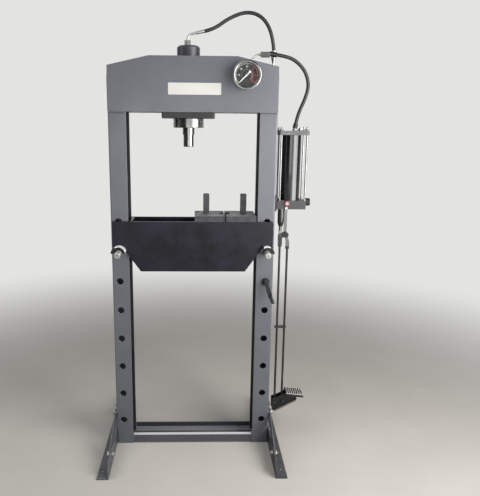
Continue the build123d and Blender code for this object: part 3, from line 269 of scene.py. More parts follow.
def make_line_group():
    """Fine parallel lines left by a tool; stretch is small along the lines."""
    group, given, result = new_group(
        "tool_lines",
        [("Stretch", "NodeSocketVector", (1.0, 1.0, 1.0)), ("Pitch", "NodeSocketFloat", 0.0008)],
        [("Line", "NodeSocketFloat")],
    )
    stretched = node(group, "ShaderNodeVectorMath",
                     {0: object_place(group), 1: given.outputs["Stretch"]}, operation="MULTIPLY")
    line_scale = maths(group, "DIVIDE", 1.0, given.outputs["Pitch"])
    lines = noise(group, stretched.outputs["Vector"], line_scale, detail=2.0)
    group.links.new(lines, result.inputs["Line"])
    return group


EDGES = make_edge_group()
PATCHES = make_patch_group()
DUST_AND_TOP_LIGHT = make_dust_group()
LINES = make_line_group()

LINES_ALONG_X = (0.02, 1.0, 1.0)
LINES_ALONG_Z = (1.0, 1.0, 0.02)
LINES_ROUND_Z = (0.02, 0.02, 1.0)
LINES_ROUND_Y = (0.02, 1.0, 0.02)

# Pale colour of dust on the tops, also serving as painted light from above.
DUST_AND_TOP_LIGHT_COLOUR = (0.42, 0.40, 0.37)
# Pale colour that bare metal takes on its tops: painted light from above.
TOP_LIGHT_COLOUR = (0.46, 0.46, 0.45)
RUBBED_METAL_GAIN = 1.35
MOTTLE_SHADE = 0.82


# Makers of materials

def new_material(name, colour, roughness, metallic=0.0):
    """A material with its Principled shader, ready for detail."""
    material = bpy.data.materials.new(name)
    material.use_nodes = True
    tree = material.node_tree
    shader = tree.nodes["Principled BSDF"]
    shader.inputs["Base Color"].default_value = (*colour, 1)
    shader.inputs["Roughness"].default_value = roughness
    shader.inputs["Metallic"].default_value = metallic
    material.diffuse_color = (*colour, 1)
    return material, tree, shader


def uneven_roughness(tree, roughness, mean_rise, rises):
    """Roughness that each mask raises, less the mean of what the masks add."""
    raised = [times(tree, mask, rise) for mask, rise in rises]
    total = raised[0]
    for more in raised[1:]:
        total = plus(tree, total, more)
    return plus(tree, total, roughness - mean_rise)


def add_relief(tree, shader, height, depth, normal=None):
    """Bump of a given depth in metres, on top of a rounded normal if there is one."""
    inputs = {"Height": height, "Strength": 1.0, "Distance": depth}
    if normal is not None:
        inputs["Normal"] = normal
    bump = node(tree, "ShaderNodeBump", inputs)
    tree.links.new(bump.outputs["Normal"], shader.inputs["Normal"])


def paint(name, colour, roughness, patch_colour, rubbed_colour, rub=0.5, dust_and_top_light=0.25,
          patch_size=0.12, grain=0.0012, grain_depth=0.00003, radius=0.0015, coat=0.0, gloss=0.5):
    """Sprayed paint: orange-peel grain, uneven tone, rubbed edges, and dust on faces that look up
    that partly stands for painted light on the tops.
    """
    material, tree, shader = new_material(name, colour, roughness)
    edges = use_group(tree, EDGES, Radius=radius, Rub=rub)
    patches = use_group(tree, PATCHES, Size=patch_size, Speck_Size=0.003)
    dust_and_light = use_group(tree, DUST_AND_TOP_LIGHT, Amount=dust_and_top_light)
    toned = blend_colours(tree, patches.outputs["Patch"], colour, patch_colour)
    rubbed = blend_colours(tree, edges.outputs["Edge"], toned, rubbed_colour)
    dusted_and_lit = blend_colours(tree, dust_and_light.outputs["Dust And Top Light"], rubbed, DUST_AND_TOP_LIGHT_COLOUR)
    tree.links.new(dusted_and_lit, shader.inputs["Base Color"])
    rises = [(patches.outputs["Patch"], 0.10), (patches.outputs["Speck"], 0.06)]
    uneven = uneven_roughness(tree, roughness, mean_rise=0.06, rises=rises)
    tree.links.new(plus(tree, uneven, dust_and_light.outputs["Dust And Top Light"]), shader.inputs["Roughness"])
    shader.inputs["Coat Weight"].default_value = coat
    shader.inputs["Specular IOR Level"].default_value = gloss
    peel = noise(tree, object_place(tree), scale=1 / grain, detail=2.0)
    add_relief(tree, shader, peel, grain_depth, edges.outputs["Normal"])
    return material


def bare_metal(name, colour, roughness, stain_colour, lines, pitch=0.0008, line_depth=0.00001,
               line_share=0.10, radius=0.0008, metallic=1.0, patch_size=0.05, painted_top_light=0.0):
    """Metal with its tool's lines, slight staining, softened edges and painted light on its tops.
    """
    material, tree, shader = new_material(name, colour, roughness, metallic)
    edges = use_group(tree, EDGES, Radius=radius, Rub=0.3)
    patches = use_group(tree, PATCHES, Size=patch_size, Speck_Size=0.002)
    tool = use_group(tree, LINES, Stretch=lines, Pitch=pitch)
    dust_and_light = use_group(tree, DUST_AND_TOP_LIGHT, Amount=painted_top_light)
    stained = blend_colours(tree, patches.outputs["Patch"], colour, stain_colour)
    top_lit = blend_colours(tree, dust_and_light.outputs["Dust And Top Light"], stained, TOP_LIGHT_COLOUR)
    bright = tuple(min(1.0, RUBBED_METAL_GAIN * part) for part in colour)
    rubbed = blend_colours(tree, edges.outputs["Edge"], top_lit, bright)
    tree.links.new(rubbed, shader.inputs["Base Color"])
    rises = [(tool.outputs["Line"], line_share), (patches.outputs["Patch"], 0.08)]
    uneven = uneven_roughness(tree, roughness, mean_rise=0.08, rises=rises)
    tree.links.new(uneven, shader.inputs["Roughness"])
    add_relief(tree, shader, tool.outputs["Line"], line_depth, edges.outputs["Normal"])
    return material


def moulded_plastic(name, colour, roughness, worn_colour):
    """Moulded plastic with a fine grain and slightly polished edges."""
    material, tree, shader = new_material(name, colour, roughness)
    edges = use_group(tree, EDGES, Radius=0.0008, Rub=0.4)
    patches = use_group(tree, PATCHES, Size=0.01, Speck_Size=0.0008)
    worn = blend_colours(tree, edges.outputs["Edge"], colour, worn_colour)
    tree.links.new(worn, shader.inputs["Base Color"])
    uneven = uneven_roughness(tree, roughness, mean_rise=0.07,
                              rises=[(patches.outputs["Speck"], 0.15)])
    tree.links.new(uneven, shader.inputs["Roughness"])
    add_relief(tree, shader, patches.outputs["Speck"], 0.00003, edges.outputs["Normal"])
    return material


def printed(name, colour, roughness):
    """Printed or enamelled surface, with a faint mottle."""
    material, tree, shader = new_material(name, colour, roughness)
    mottle = noise(tree, object_place(tree), scale=220.0, detail=3.0)
    duller = tuple(MOTTLE_SHADE * part for part in colour)
    tree.links.new(blend_colours(tree, mottle, colour, duller), shader.inputs["Base Color"])
    uneven = uneven_roughness(tree, roughness, mean_rise=0.06, rises=[(mottle, 0.12)])
    tree.links.new(uneven, shader.inputs["Roughness"])
    return material


def hose_rubber():
    """Smooth hose cover with a faint wrapped-cloth print and a dusty bloom."""
    colour = (0.014, 0.0145, 0.016)
    bloom_colour = (0.028, 0.028, 0.030)
    material, tree, shader = new_material("hose_rubber", colour, roughness=0.42)
    place = object_place(tree)
    wrap = node(tree, "ShaderNodeTexWave", {"Vector": place, "Scale": 260.0, "Distortion": 1.5},
                wave_type="BANDS", bands_direction="DIAGONAL")
    bloom = ramp(tree, noise(tree, place, scale=40.0, detail=4.0), low=0.35, high=0.75)
    bloomed = blend_colours(tree, bloom, colour, bloom_colour)
    tree.links.new(bloomed, shader.inputs["Base Color"])
    shader.inputs["Specular IOR Level"].default_value = 0.3
    uneven = uneven_roughness(tree, roughness=0.42, mean_rise=0.06, rises=[(bloom, 0.15)])
    tree.links.new(uneven, shader.inputs["Roughness"])
    add_relief(tree, shader, wrap.outputs["Fac"], depth=0.00006)
    return material


def seal_rubber():
    """Plain black sealing rubber."""
    colour = (0.02, 0.02, 0.02)
    bloom_colour = (0.04, 0.04, 0.04)
    material, tree, shader = new_material("seal_rubber", colour, roughness=0.6)
    bloom = noise(tree, object_place(tree), scale=150.0)
    bloomed = blend_colours(tree, bloom, colour, bloom_colour)
    tree.links.new(bloomed, shader.inputs["Base Color"])
    return material


def clear_glass():
    """Window of the gauge, with a trace of smear in its gloss."""
    material, tree, shader = new_material("gauge_glass", (1.0, 1.0, 1.0), roughness=0.02)
    shader.inputs["Transmission Weight"].default_value = 1.0
    shader.inputs["IOR"].default_value = 1.15
    smudges = noise(tree, object_place(tree), scale=60.0, detail=4.0)
    smear = ramp(tree, smudges, low=0.5, high=0.8)
    tree.links.new(times(tree, smear, 0.06), shader.inputs["Roughness"])
    return material


# Boxes of the marks that some materials carry, in object coordinates; several mark painted light or
# shade
CHANNEL_INSIDE = {"X": (-0.3482, 0.3482), "Y": (-0.0553, 0.0553)}
BACK_MEMBER_WALL = {"Y": (0.05, 0.0585), "Z": (0.018, 0.0395)}
BACK_MEMBER_LEG = {"Y": (0.0, 0.0595), "Z": (0.0, 0.018)}
FRONT_MEMBER_TOP = {"Y": (-0.0615, -0.04), "Z": (0.0425, 0.044)}
SLEEVE_AT_MANIFOLD = {"X": (0.3182, 0.36), "Y": (-0.04, -0.0115)}
SLEEVE_AT_RESERVOIR = {"X": (0.42, 0.4525), "Z": (1.4582, 1.5)}
VALVE_PLUG = {"Z": (1.10, 1.127)}
# Stretches of the saddles' tops that carry a painted highlight.
LEFT_SADDLE_LIT = {"X": (-0.338, -0.290)}
RIGHT_SADDLE_LIT = {"X": (0.308, 0.336)}

# The pedal tread's tilt, and a point of its top
TREAD_TILT_DEGREES = 6
TREAD_POINT_X = 0.440
TREAD_POINT_Z = 0.236
TREAD_SLOPE = math.tan(math.radians(TREAD_TILT_DEGREES))
TREAD_LEVEL = TREAD_POINT_Z + TREAD_POINT_X * TREAD_SLOPE

# Where a mark fades in: from nothing to all of it
SADDLE_RIM = (0.0285, 0.0295)
SADDLE_RISE = (0.0, 0.010)
ARM_SIDE = (0.0202, 0.0206)
TREAD_RIB_TOP = (TREAD_LEVEL + 0.0028, TREAD_LEVEL + 0.0044)
TREAD_RIM_TOP = (TREAD_LEVEL - 0.0008, TREAD_LEVEL - 0.0003)
TREAD_RIM_SIDE = (0.0308, 0.0312)

# Colours of the marks; several are painted light or shade
# Painted shade inside the uprights' channels and their holes.
CHANNEL_SHADE = (0.010, 0.011, 0.014)
# Painted shade on the back member's upright wall.
MEMBER_WALL_SHADE = (0.018, 0.020, 0.028)
# Painted light on the back member's upward leg.
MEMBER_LEG_LIGHT = (0.16, 0.165, 0.18)
# Painted highlight along the front member's top.
MEMBER_TOP_HIGHLIGHT = (0.52, 0.53, 0.54)
# Painted highlight on the saddles' rounded tops.
SADDLE_HIGHLIGHT = (0.56, 0.55, 0.57)
# Painted light on the pedal arm's base strip.
STRIP_LIGHT = (0.21, 0.185, 0.17)
# Painted highlights on the tops of the tread's ribs and rim.
TREAD_RIB_HIGHLIGHT = (0.36, 0.355, 0.345)
TREAD_RIM_HIGHLIGHT = (0.60, 0.59, 0.57)
SLEEVE_BLACK = (0.012, 0.012, 0.013)
PLUG_WHITE = (0.72, 0.68, 0.67)


def within(tree, box):
    """Mask of a box, given as the stretch that it takes along each of its axes."""
    parts = split(tree, object_place(tree))
    mask = 1.0
    for axis, (low, high) in box.items():
        above = maths(tree, "GREATER_THAN", parts[axis], low)
        below = maths(tree, "LESS_THAN", parts[axis], high)
        mask = times(tree, mask, times(tree, above, below))
    return mask


def recolour(material, mask, colour, metallic=None):
    """Gives what a mask covers another colour, and less metal where that is given."""
    tree = material.node_tree
    shader = tree.nodes["Principled BSDF"]
    before = shader.inputs["Base Color"].links[0].from_socket
    tree.links.new(blend_colours(tree, mask, before, colour), shader.inputs["Base Color"])
    if metallic is not None:
        full = shader.inputs["Metallic"].default_value
        loss = times(tree, mask, full - metallic)
        tree.links.new(maths(tree, "SUBTRACT", full, loss), shader.inputs["Metallic"])


def mark_uprights(material):
    """The insides of the channels are painted dark: painted shade."""
    recolour(material, within(material.node_tree, CHANNEL_INSIDE), CHANNEL_SHADE)


def mark_members(material):
    """Painted light and shade: the back member's wall is painted dark as shade and its leg light as
    light from above; the front one's top is painted pale as a highlight.
    """
    tree = material.node_tree
    recolour(material, within(tree, BACK_MEMBER_WALL), MEMBER_WALL_SHADE)
    recolour(material, within(tree, FRONT_MEMBER_TOP), MEMBER_TOP_HIGHLIGHT)
    recolour(material, within(tree, BACK_MEMBER_LEG), MEMBER_LEG_LIGHT)


def mark_saddles(material):
    """The rounded tops are painted bright: a painted highlight where the light falls on them."""
    tree = material.node_tree
    parts = split(tree, object_place(tree))
    aside = maths(tree, "SUBTRACT", maths(tree, "ABSOLUTE", parts["X"]), PIN_X)
    above = maths(tree, "SUBTRACT", parts["Z"], PIN_Z)
    square = plus(tree, times(tree, aside, aside), times(tree, above, above))
    rim = ramp(tree, maths(tree, "SQRT", square), *SADDLE_RIM)
    top = times(tree, rim, ramp(tree, above, *SADDLE_RISE))
    lit_parts = plus(tree, within(tree, LEFT_SADDLE_LIT), within(tree, RIGHT_SADDLE_LIT))
    recolour(material, times(tree, top, lit_parts), SADDLE_HIGHLIGHT)


def mark_pedal_arm(material):
    """The base strip that the arm stands on is painted a light brown: painted light from above."""
    tree = material.node_tree
    aside = maths(tree, "ABSOLUTE", split(tree, object_place(tree))["Y"])
    recolour(material, ramp(tree, aside, *ARM_SIDE), STRIP_LIGHT)


def mark_tread(material):
    """The tops of the ribs and of the rim are painted pale, unevenly: painted highlights from the
    light above.
    """
    tree = material.node_tree
    place = object_place(tree)
    parts = split(tree, place)
    level = plus(tree, parts["Z"], times(tree, parts["X"], TREAD_SLOPE))
    aside = maths(tree, "ABSOLUTE", parts["Y"])
    ribs = ramp(tree, level, *TREAD_RIB_TOP)
    rim = times(tree, ramp(tree, level, *TREAD_RIM_TOP), ramp(tree, aside, *TREAD_RIM_SIDE))
    uneven = ramp(tree, noise(tree, place, scale=90.0, detail=4.0), low=0.1, high=0.4)
    recolour(material, times(tree, ribs, uneven), TREAD_RIB_HIGHLIGHT)
    recolour(material, times(tree, rim, uneven), TREAD_RIM_HIGHLIGHT)


def mark_fittings(material):
    """The pump hose's two sleeves are blackened."""
    tree = material.node_tree
    sleeves = plus(tree, within(tree, SLEEVE_AT_MANIFOLD), within(tree, SLEEVE_AT_RESERVOIR),
                   clamp=True)
    recolour(material, sleeves, SLEEVE_BLACK, metallic=0.2)


def mark_caps(material):
    """The small plug under the red cap is white."""
    recolour(material, within(material.node_tree, VALVE_PLUG), PLUG_WHITE)


FRAME_RUBBED = (0.30, 0.31, 0.33)
FRAME_PAINT = dict(
    colour=(0.087, 0.091, 0.106), roughness=0.34, patch_colour=(0.074, 0.079, 0.094),
    rubbed_colour=FRAME_RUBBED, rub=0.45, dust_and_top_light=0.06, gloss=0.75)

PAINTS = {
    "frame_paint": FRAME_PAINT,
    "upright_paint": FRAME_PAINT,
    "member_paint": dict(
        colour=(0.062, 0.064, 0.074), roughness=0.40, patch_colour=(0.052, 0.054, 0.064),
        rubbed_colour=FRAME_RUBBED, rub=0.8, dust_and_top_light=0.10),
    "foot_paint": dict(
        colour=(0.072, 0.075, 0.086), roughness=0.42, patch_colour=(0.060, 0.063, 0.074),
        rubbed_colour=FRAME_RUBBED, rub=0.6, dust_and_top_light=0.10, gloss=0.35),
    # A darker copy of the foot paint: painted shade on the right foot.
    "shaded_paint": dict(
        colour=(0.046, 0.047, 0.053), roughness=0.46, patch_colour=(0.038, 0.040, 0.046),
        rubbed_colour=FRAME_RUBBED, rub=0.6, dust_and_top_light=0.10, gloss=0.25),
    # Much darker than the frame paint: painted shade under the beam.
    "carriage_paint": dict(
        colour=(0.010, 0.010, 0.011), roughness=0.45, patch_colour=(0.008, 0.008, 0.009),
        rubbed_colour=(0.20, 0.20, 0.20), rub=0.6, dust_and_top_light=0.10),
    "bed_paint": dict(
        colour=(0.0025, 0.0023, 0.0040), roughness=0.28, patch_colour=(0.0070, 0.0060, 0.0150),
        rubbed_colour=(0.16, 0.16, 0.17), rub=0.5, dust_and_top_light=0.05, patch_size=0.09,
        grain_depth=0.00002, gloss=0.34),
    "saddle_steel": dict(
        colour=(0.008, 0.008, 0.009), roughness=0.32, patch_colour=(0.012, 0.012, 0.014),
        rubbed_colour=(0.40, 0.40, 0.40), rub=0.8, dust_and_top_light=0.05, radius=0.002, gloss=0.4),
    "gloss_black": dict(
        colour=(0.003, 0.003, 0.004), roughness=0.20, patch_colour=(0.004, 0.004, 0.005),
        rubbed_colour=(0.05, 0.05, 0.05), rub=0.3, dust_and_top_light=0.04, grain=0.004,
        grain_depth=0.00001, coat=0.4, gloss=0.45),
    "satin_black": dict(
        colour=(0.012, 0.012, 0.014), roughness=0.34, patch_colour=(0.018, 0.018, 0.020),
        rubbed_colour=(0.14, 0.14, 0.14), rub=0.6, dust_and_top_light=0.12, gloss=0.3),
    "cylinder_paint": dict(
        colour=(0.022, 0.022, 0.030), roughness=0.34, patch_colour=(0.034, 0.034, 0.044),
        rubbed_colour=(0.16, 0.16, 0.17), rub=0.6, dust_and_top_light=0.25, gloss=0.4),
    "pump_grey": dict(
        colour=(0.088, 0.088, 0.092), roughness=0.42, patch_colour=(0.066, 0.066, 0.070),
        rubbed_colour=(0.34, 0.34, 0.34), rub=0.9, dust_and_top_light=0.35),
    "block_grey": dict(
        colour=(0.028, 0.028, 0.030), roughness=0.42, patch_colour=(0.021, 0.021, 0.023),
        rubbed_colour=(0.40, 0.40, 0.40), rub=0.9, dust_and_top_light=0.7),
    # Black all over, as painted shade in the tread's gaps; its tops get painted highlights.
    "pedal_rubbing": dict(
        colour=(0.006, 0.006, 0.006), roughness=0.40, patch_colour=(0.010, 0.010, 0.010),
        rubbed_colour=(0.34, 0.33, 0.32), rub=0.6, dust_and_top_light=0.05, radius=0.0008, gloss=0.4),
    "pedal_black": dict(
        colour=(0.005, 0.005, 0.005), roughness=0.34, patch_colour=(0.008, 0.008, 0.008),
        rubbed_colour=(0.12, 0.12, 0.12), rub=0.6, dust_and_top_light=0.04, gloss=0.4),
}

METALS = {
    # Its tops are lightened as painted light from above.
    "mill_steel": dict(
        colour=(0.056, 0.056, 0.060), roughness=0.56, stain_colour=(0.034, 0.032, 0.038),
        lines=LINES_ALONG_X, metallic=0.4, radius=0.0014, painted_top_light=0.6, patch_size=0.025),
    "turned_steel": dict(
        colour=(0.21, 0.21, 0.20), roughness=0.19, stain_colour=(0.15, 0.15, 0.145),
        lines=LINES_ROUND_Z, pitch=0.0006, line_depth=0.000005),
    "zinc": dict(
        colour=(0.46, 0.47, 0.46), roughness=0.32, stain_colour=(0.36, 0.37, 0.36),
        lines=LINES_ROUND_Y, pitch=0.0015),
    "dull_zinc": dict(
        colour=(0.17, 0.17, 0.165), roughness=0.42, stain_colour=(0.11, 0.11, 0.105),
        lines=LINES_ROUND_Y, pitch=0.0015, metallic=0.8),
    "zinc_upright": dict(
        colour=(0.27, 0.27, 0.27), roughness=0.34, stain_colour=(0.20, 0.20, 0.20),
        lines=LINES_ROUND_Z, pitch=0.0012),
    "pin_steel": dict(
        colour=(0.42, 0.42, 0.41), roughness=0.42, stain_colour=(0.32, 0.32, 0.31),
        lines=LINES_ROUND_Y, pitch=0.0012, radius=0.0015, metallic=0.55),
    "plated_fittings": dict(
        colour=(0.42, 0.43, 0.42), roughness=0.34, stain_colour=(0.32, 0.32, 0.31),
        lines=LINES_ROUND_Y, pitch=0.0015),
    "rod_steel": dict(
        colour=(0.050, 0.048, 0.046), roughness=0.36, stain_colour=(0.030, 0.028, 0.027),
        lines=LINES_ALONG_Z, metallic=0.6),
    "linkage_steel": dict(
        colour=(0.13, 0.13, 0.125), roughness=0.36, stain_colour=(0.08, 0.078, 0.074),
        lines=LINES_ALONG_Z, metallic=0.8, radius=0.0012),
    "chrome": dict(
        colour=(0.44, 0.44, 0.43), roughness=0.20, stain_colour=(0.40, 0.40, 0.39),
        lines=LINES_ROUND_Y, pitch=0.004, line_depth=0.000001, line_share=0.03, radius=0.0005),
}

PLASTICS = {
    "black_plastic": dict(
        colour=(0.014, 0.014, 0.015), roughness=0.38, worn_colour=(0.06, 0.06, 0.06)),
    "cap_plastic": dict(
        colour=(0.24, 0.045, 0.060), roughness=0.40, worn_colour=(0.62, 0.20, 0.20)),
    "white_plastic": dict(
        colour=(0.36, 0.29, 0.30), roughness=0.40, worn_colour=(0.52, 0.46, 0.46)),
}

PRINTS = {
    "dial_black": dict(colour=(0.006, 0.006, 0.007), roughness=0.45),
    "white_print": dict(colour=(0.80, 0.80, 0.78), roughness=0.5),
    "red_print": dict(colour=(0.60, 0.035, 0.035), roughness=0.5),
    "label_plate": dict(colour=(0.50, 0.495, 0.470), roughness=0.45),
    # Flat dark discs on the pins' ends: painted shade of their centre drillings.
    "drilled_dark": dict(colour=(0.05, 0.05, 0.05), roughness=0.6),
}

MARKS = {
    "upright_paint": mark_uprights,
    "member_paint": mark_members,
    "saddle_steel": mark_saddles,
    "pedal_black": mark_pedal_arm,
    "pedal_rubbing": mark_tread,
    "plated_fittings": mark_fittings,
    "cap_plastic": mark_caps,
}


def make_materials():
    """Every material by its name, with its marks."""
    made = {
        "hose_rubber": hose_rubber(),
        "seal_rubber": seal_rubber(),
        "gauge_glass": clear_glass(),
    }
    for maker, looks in (
        (paint, PAINTS),
        (bare_metal, METALS),
        (moulded_plastic, PLASTICS),
        (printed, PRINTS),
    ):
        for name, look in looks.items():
            made[name] = maker(name, **look)
    for name, add_marks in MARKS.items():
        add_marks(made[name])
    return made


MATERIALS = make_materials()

FINISHES = {
    "frame_paint": ["front_beam_plate", "back_beam_plate"],
    "upright_paint": ["left_upright", "right_upright"],
    "member_paint": ["front_cross_member", "back_cross_member"],
    "foot_paint": ["left_foot", "foot_braces"],
    "shaded_paint": ["right_foot"],
    "carriage_paint": ["head_carriage_plate"],
    "bed_paint": ["front_bed_plate", "back_bed_plate", "bed_spacers"],
    "saddle_steel": ["pin_saddles"],
    "gloss_black": ["reservoir_tube", "pump_barrel"],
    "cylinder_paint": ["cylinder_body"],
    "satin_black": ["crank", "crank_bushes", "linkage_bolts", "pressure_manifold", "gauge_case"],
    "pedal_black": ["pedal_arm"],
    "pump_grey": ["reservoir_top_plate"],
    "block_grey": ["pump_block", "pump_bracket"],
    "pedal_rubbing": ["pedal_tread"],
    "mill_steel": ["left_arbor_plate", "right_arbor_plate", "arbor_plate_grips"],
    "turned_steel": ["cylinder_collar", "ram", "ram_nose", "pump_plunger"],
    "pin_steel": ["left_pin", "right_pin"],
    "zinc": [
        "frame_bolts", "gauge_pipe", "cylinder_elbow", "cylinder_hose_sleeve", "release_spindle",
    ],
    "dull_zinc": ["pump_hanger"],
    "zinc_upright": ["tie_rods", "tie_rod_nuts"],
    "plated_fittings": ["hydraulic_fittings"],
    "rod_steel": ["push_rod", "stay_rod", "rod_clip"],
    "linkage_steel": ["push_rod_pins", "pump_rocker"],
    "chrome": ["gauge_bezel"],
    "seal_rubber": ["piston_seal"],
    "dial_black": ["gauge_dial"],
    "white_print": ["gauge_needle"],
    "gauge_glass": ["gauge_glass"],
    "black_plastic": ["release_knob", "crank_handle"],
    "cap_plastic": ["valve_caps"],
}


def finish_nodes():
    """Gives each solid of the part its finish."""
    for finish, names in FINISHES.items():
        for name in names:
            piece = nodes[name]
            if not piece.material_slots:
                piece.data.materials.append(MATERIALS[finish])
            for slot in piece.material_slots:
                slot.material = MATERIALS[finish]


# Mesh helpers

BEAD_RIPPLE = 0.12
BEAD_UNEVENNESS = 0.04


def new_piece(name, mesh, finish, body, smooth=True):
    """An object for a finished mesh, with its material, riding on a body if it has one."""
    mesh.materials.append(MATERIALS[finish])
    for face in mesh.polygons:
        face.use_smooth = smooth
    piece = scene_object(name, mesh)
    if body:
        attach(piece, body)
    return piece


def mesh_from(name, maker):
    """A mesh that maker fills through a bmesh."""
    work = bmesh.new()
    maker(work)
    bmesh.ops.recalc_face_normals(work, faces=work.faces)
    mesh = bpy.data.meshes.new(name)
    work.to_mesh(mesh)
    work.free()
    return mesh


def smooth_curve(name, route):
    """Curve data of one open spline of third order through its end points."""
    curve = bpy.data.curves.new(name, "CURVE")
    curve.dimensions = "3D"
    curve.resolution_u = 14
    spline = curve.splines.new("NURBS")
    spline.points.add(len(route) - 1)
    for point, place in zip(spline.points, route):
        point.co = (*place, 1)
    spline.order_u = 3
    spline.use_endpoint_u = True
    return curve


def spline_path(name, route):
    """Points of the smooth line that a route's control points pull."""
    holder = scene_object(name + "_line", smooth_curve(name + "_line", route))
    line = bpy.data.meshes.new_from_object(holder)
    points = [vertex.co.copy() for vertex in line.vertices]
    bpy.data.objects.remove(holder)
    bpy.data.meshes.remove(line)
    return points


def rings_along(path, radius, sides):
    """Rings of points square to a path, without twist."""
    rings = []
    across = (path[1] - path[0]).normalized().orthogonal().normalized()
    for index, place in enumerate(path):
        ahead = path[min(index + 1, len(path) - 1)] - path[max(index - 1, 0)]
        ahead.normalize()
        across = (across - ahead * across.dot(ahead)).normalized()
        beside = ahead.cross(across)
        rings.append([
            place + radius * (across * math.cos(turn) + beside * math.sin(turn))
            for turn in (2 * math.pi * side / sides for side in range(sides))
        ])
    return rings


def join_rings(work, rings, closed=False):
    """Faces from each ring of vertices to the next, and on to the first or over the ends."""
    for first, second in zip(rings, rings[1:] + rings[:1] if closed else rings[1:]):
        for here in range(len(first)):
            after = (here + 1) % len(first)
            work.faces.new((first[here], first[after], second[after], second[here]))
    if not closed:
        work.faces.new(rings[0][::-1])
        work.faces.new(rings[-1])


def tube(work, path, radius, sides=24):
    """A closed round tube along a path."""
    rings = rings_along(path, radius, sides)
    join_rings(work, [[work.verts.new(place) for place in ring] for ring in rings])


def crimp_ring(work, centre, axis, radius, thickness, sides=32, around=10):
    """A round ring about an axis."""
    axis = Vector(axis).normalized()
    across = axis.orthogonal().normalized()
    beside = axis.cross(across)
    rings = []
    for side in range(sides):
        turn = 2 * math.pi * side / sides
        out = across * math.cos(turn) + beside * math.sin(turn)
        rings.append([
            work.verts.new(Vector(centre) + out * (radius + thickness * math.cos(roll))
                           + axis * thickness * math.sin(roll))
            for roll in (2 * math.pi * step / around for step in range(around))
        ])
    join_rings(work, rings, closed=True)


def weld_bead(work, start, end, radius, pitch=0.004, passes=5, sides=10):
    """A weld bead with the ripples of its passes."""
    start, end = Vector(start), Vector(end)
    count = max(6, round((end - start).length / pitch * passes))
    path = [start.lerp(end, step / count) for step in range(count + 1)]
    rings = rings_along(path, radius, sides)
    for index, circle in enumerate(rings):
        ripple = BEAD_RIPPLE * math.sin(2 * math.pi * index / passes)
        swell = 1 + ripple + random.uniform(-BEAD_UNEVENNESS, BEAD_UNEVENNESS)
        centre = path[index]
        rings[index] = [work.verts.new(centre + (place - centre) * swell) for place in circle]
    join_rings(work, rings)


def prism(work, outline, back, front):
    """A flat shape in X and Z, given its thickness from one depth to another."""
    rear = [work.verts.new((x, back, z)) for x, z in outline]
    face = [work.verts.new((x, front, z)) for x, z in outline]
    work.faces.new(rear)
    work.faces.new(face[::-1])
    for first in range(len(outline)):
        second = (first + 1) % len(outline)
        work.faces.new((rear[second], rear[first], face[first], face[second]))


def disc(x, z, radius, sides=32):
    """Outline of a round piece in X and Z."""
    turns = [2 * math.pi * side / sides for side in range(sides)]
    return [(x + radius * math.cos(turn), z + radius * math.sin(turn)) for turn in turns]


def rounded_rectangle(x, z, width, height, corner, steps=6):
    """Outline of a plate with round corners in X and Z."""
    outline = []
    for side_x, side_z, start in ((1, 1, 0), (-1, 1, 90), (-1, -1, 180), (1, -1, 270)):
        for step in range(steps + 1):
            turn = math.radians(start + 90 * step / steps)
            outline.append((
                x + side_x * (width / 2 - corner) + corner * math.cos(turn),
                z + side_z * (height / 2 - corner) + corner * math.sin(turn),
            ))
    return outline


# Pieces that only the scene has

def add_hoses():
    """The two hydraulic hoses, each of its real length."""
    path = spline_path("pump_hose", PUMP_HOSE_ROUTE)
    curve = smooth_curve("pump_hose_tube", PUMP_HOSE_ROUTE)
    curve.bevel_depth = HOSE_DIAMETER / 2
    curve.bevel_resolution = 8
    curve.use_fill_caps = True
    curve.materials.append(MATERIALS["hose_rubber"])
    hose = scene_object("pump_hose_tube", curve)
    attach(hose, "frame")
    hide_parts("pump_hose")

    path = spline_path("cylinder_hose", CYLINDER_HOSE_ROUTE)
    mesh = mesh_from("cylinder_hose_tube", lambda work: tube(work, path, HOSE_DIAMETER / 2))
    hose = new_piece("cylinder_hose_tube", mesh, "hose_rubber", None)
    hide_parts("cylinder_hose")
    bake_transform(hose)


BEAM_FRONT = -0.072
LABEL_THICKNESS = 0.0006


def add_label():
    """The bare label plate on the front of the beam."""
    outline = rounded_rectangle(x=0.006, z=1.6145, width=0.218, height=0.047, corner=0.002)
    mesh = mesh_from("beam_label", lambda work: prism(
        work, outline, BEAM_FRONT, BEAM_FRONT - LABEL_THICKNESS))
    new_piece("beam_label", mesh, "label_plate", "frame", smooth=False)


# The gauge: its axis, its dial, and the radii of what is printed there
GAUGE_X = 0.217
GAUGE_Z = 1.668
DIAL_FRONT = -0.0995
PRINT_THICKNESS = 0.0002
SCALE_START = 225
SCALE_SWEEP = 270
SCALE_LAST = 60
RED_FROM_NUMBER = 40
RED_SHARE = 0.62
OUTER_SCALE = 0.0460
OUTER_WHITE_EDGE = 0.0466
OUTER_RED_EDGE = 0.0480
INNER_RED_BAND = (0.0235, 0.0250)
NUMBER_RADIUS = 0.0325
NUMBER_SIZE = 0.0092
HUB_RADIUS = 0.0032
HUB_BACK = -0.1069
HUB_FRONT = -0.1078


def dial_place(radius, share, aside=0.0):
    """A point on the dial: radius, share of the scale, and a step along the scale."""
    turn = math.radians(SCALE_START - SCALE_SWEEP * share)
    return (
        GAUGE_X + radius * math.cos(turn) + aside * math.sin(turn),
        GAUGE_Z + radius * math.sin(turn) - aside * math.cos(turn),
    )


def print_on_dial(work, outline):
    """A printed shape on the dial."""
    prism(work, outline, DIAL_FRONT, DIAL_FRONT - PRINT_THICKNESS)


def arc_band(inner, outer, first, last, steps=40):
    """Outline of a band of the scale."""
    shares = [first + (last - first) * step / steps for step in range(steps + 1)]
    out = [dial_place(outer, share) for share in shares]
    return out + [dial_place(inner, share) for share in shares[::-1]]


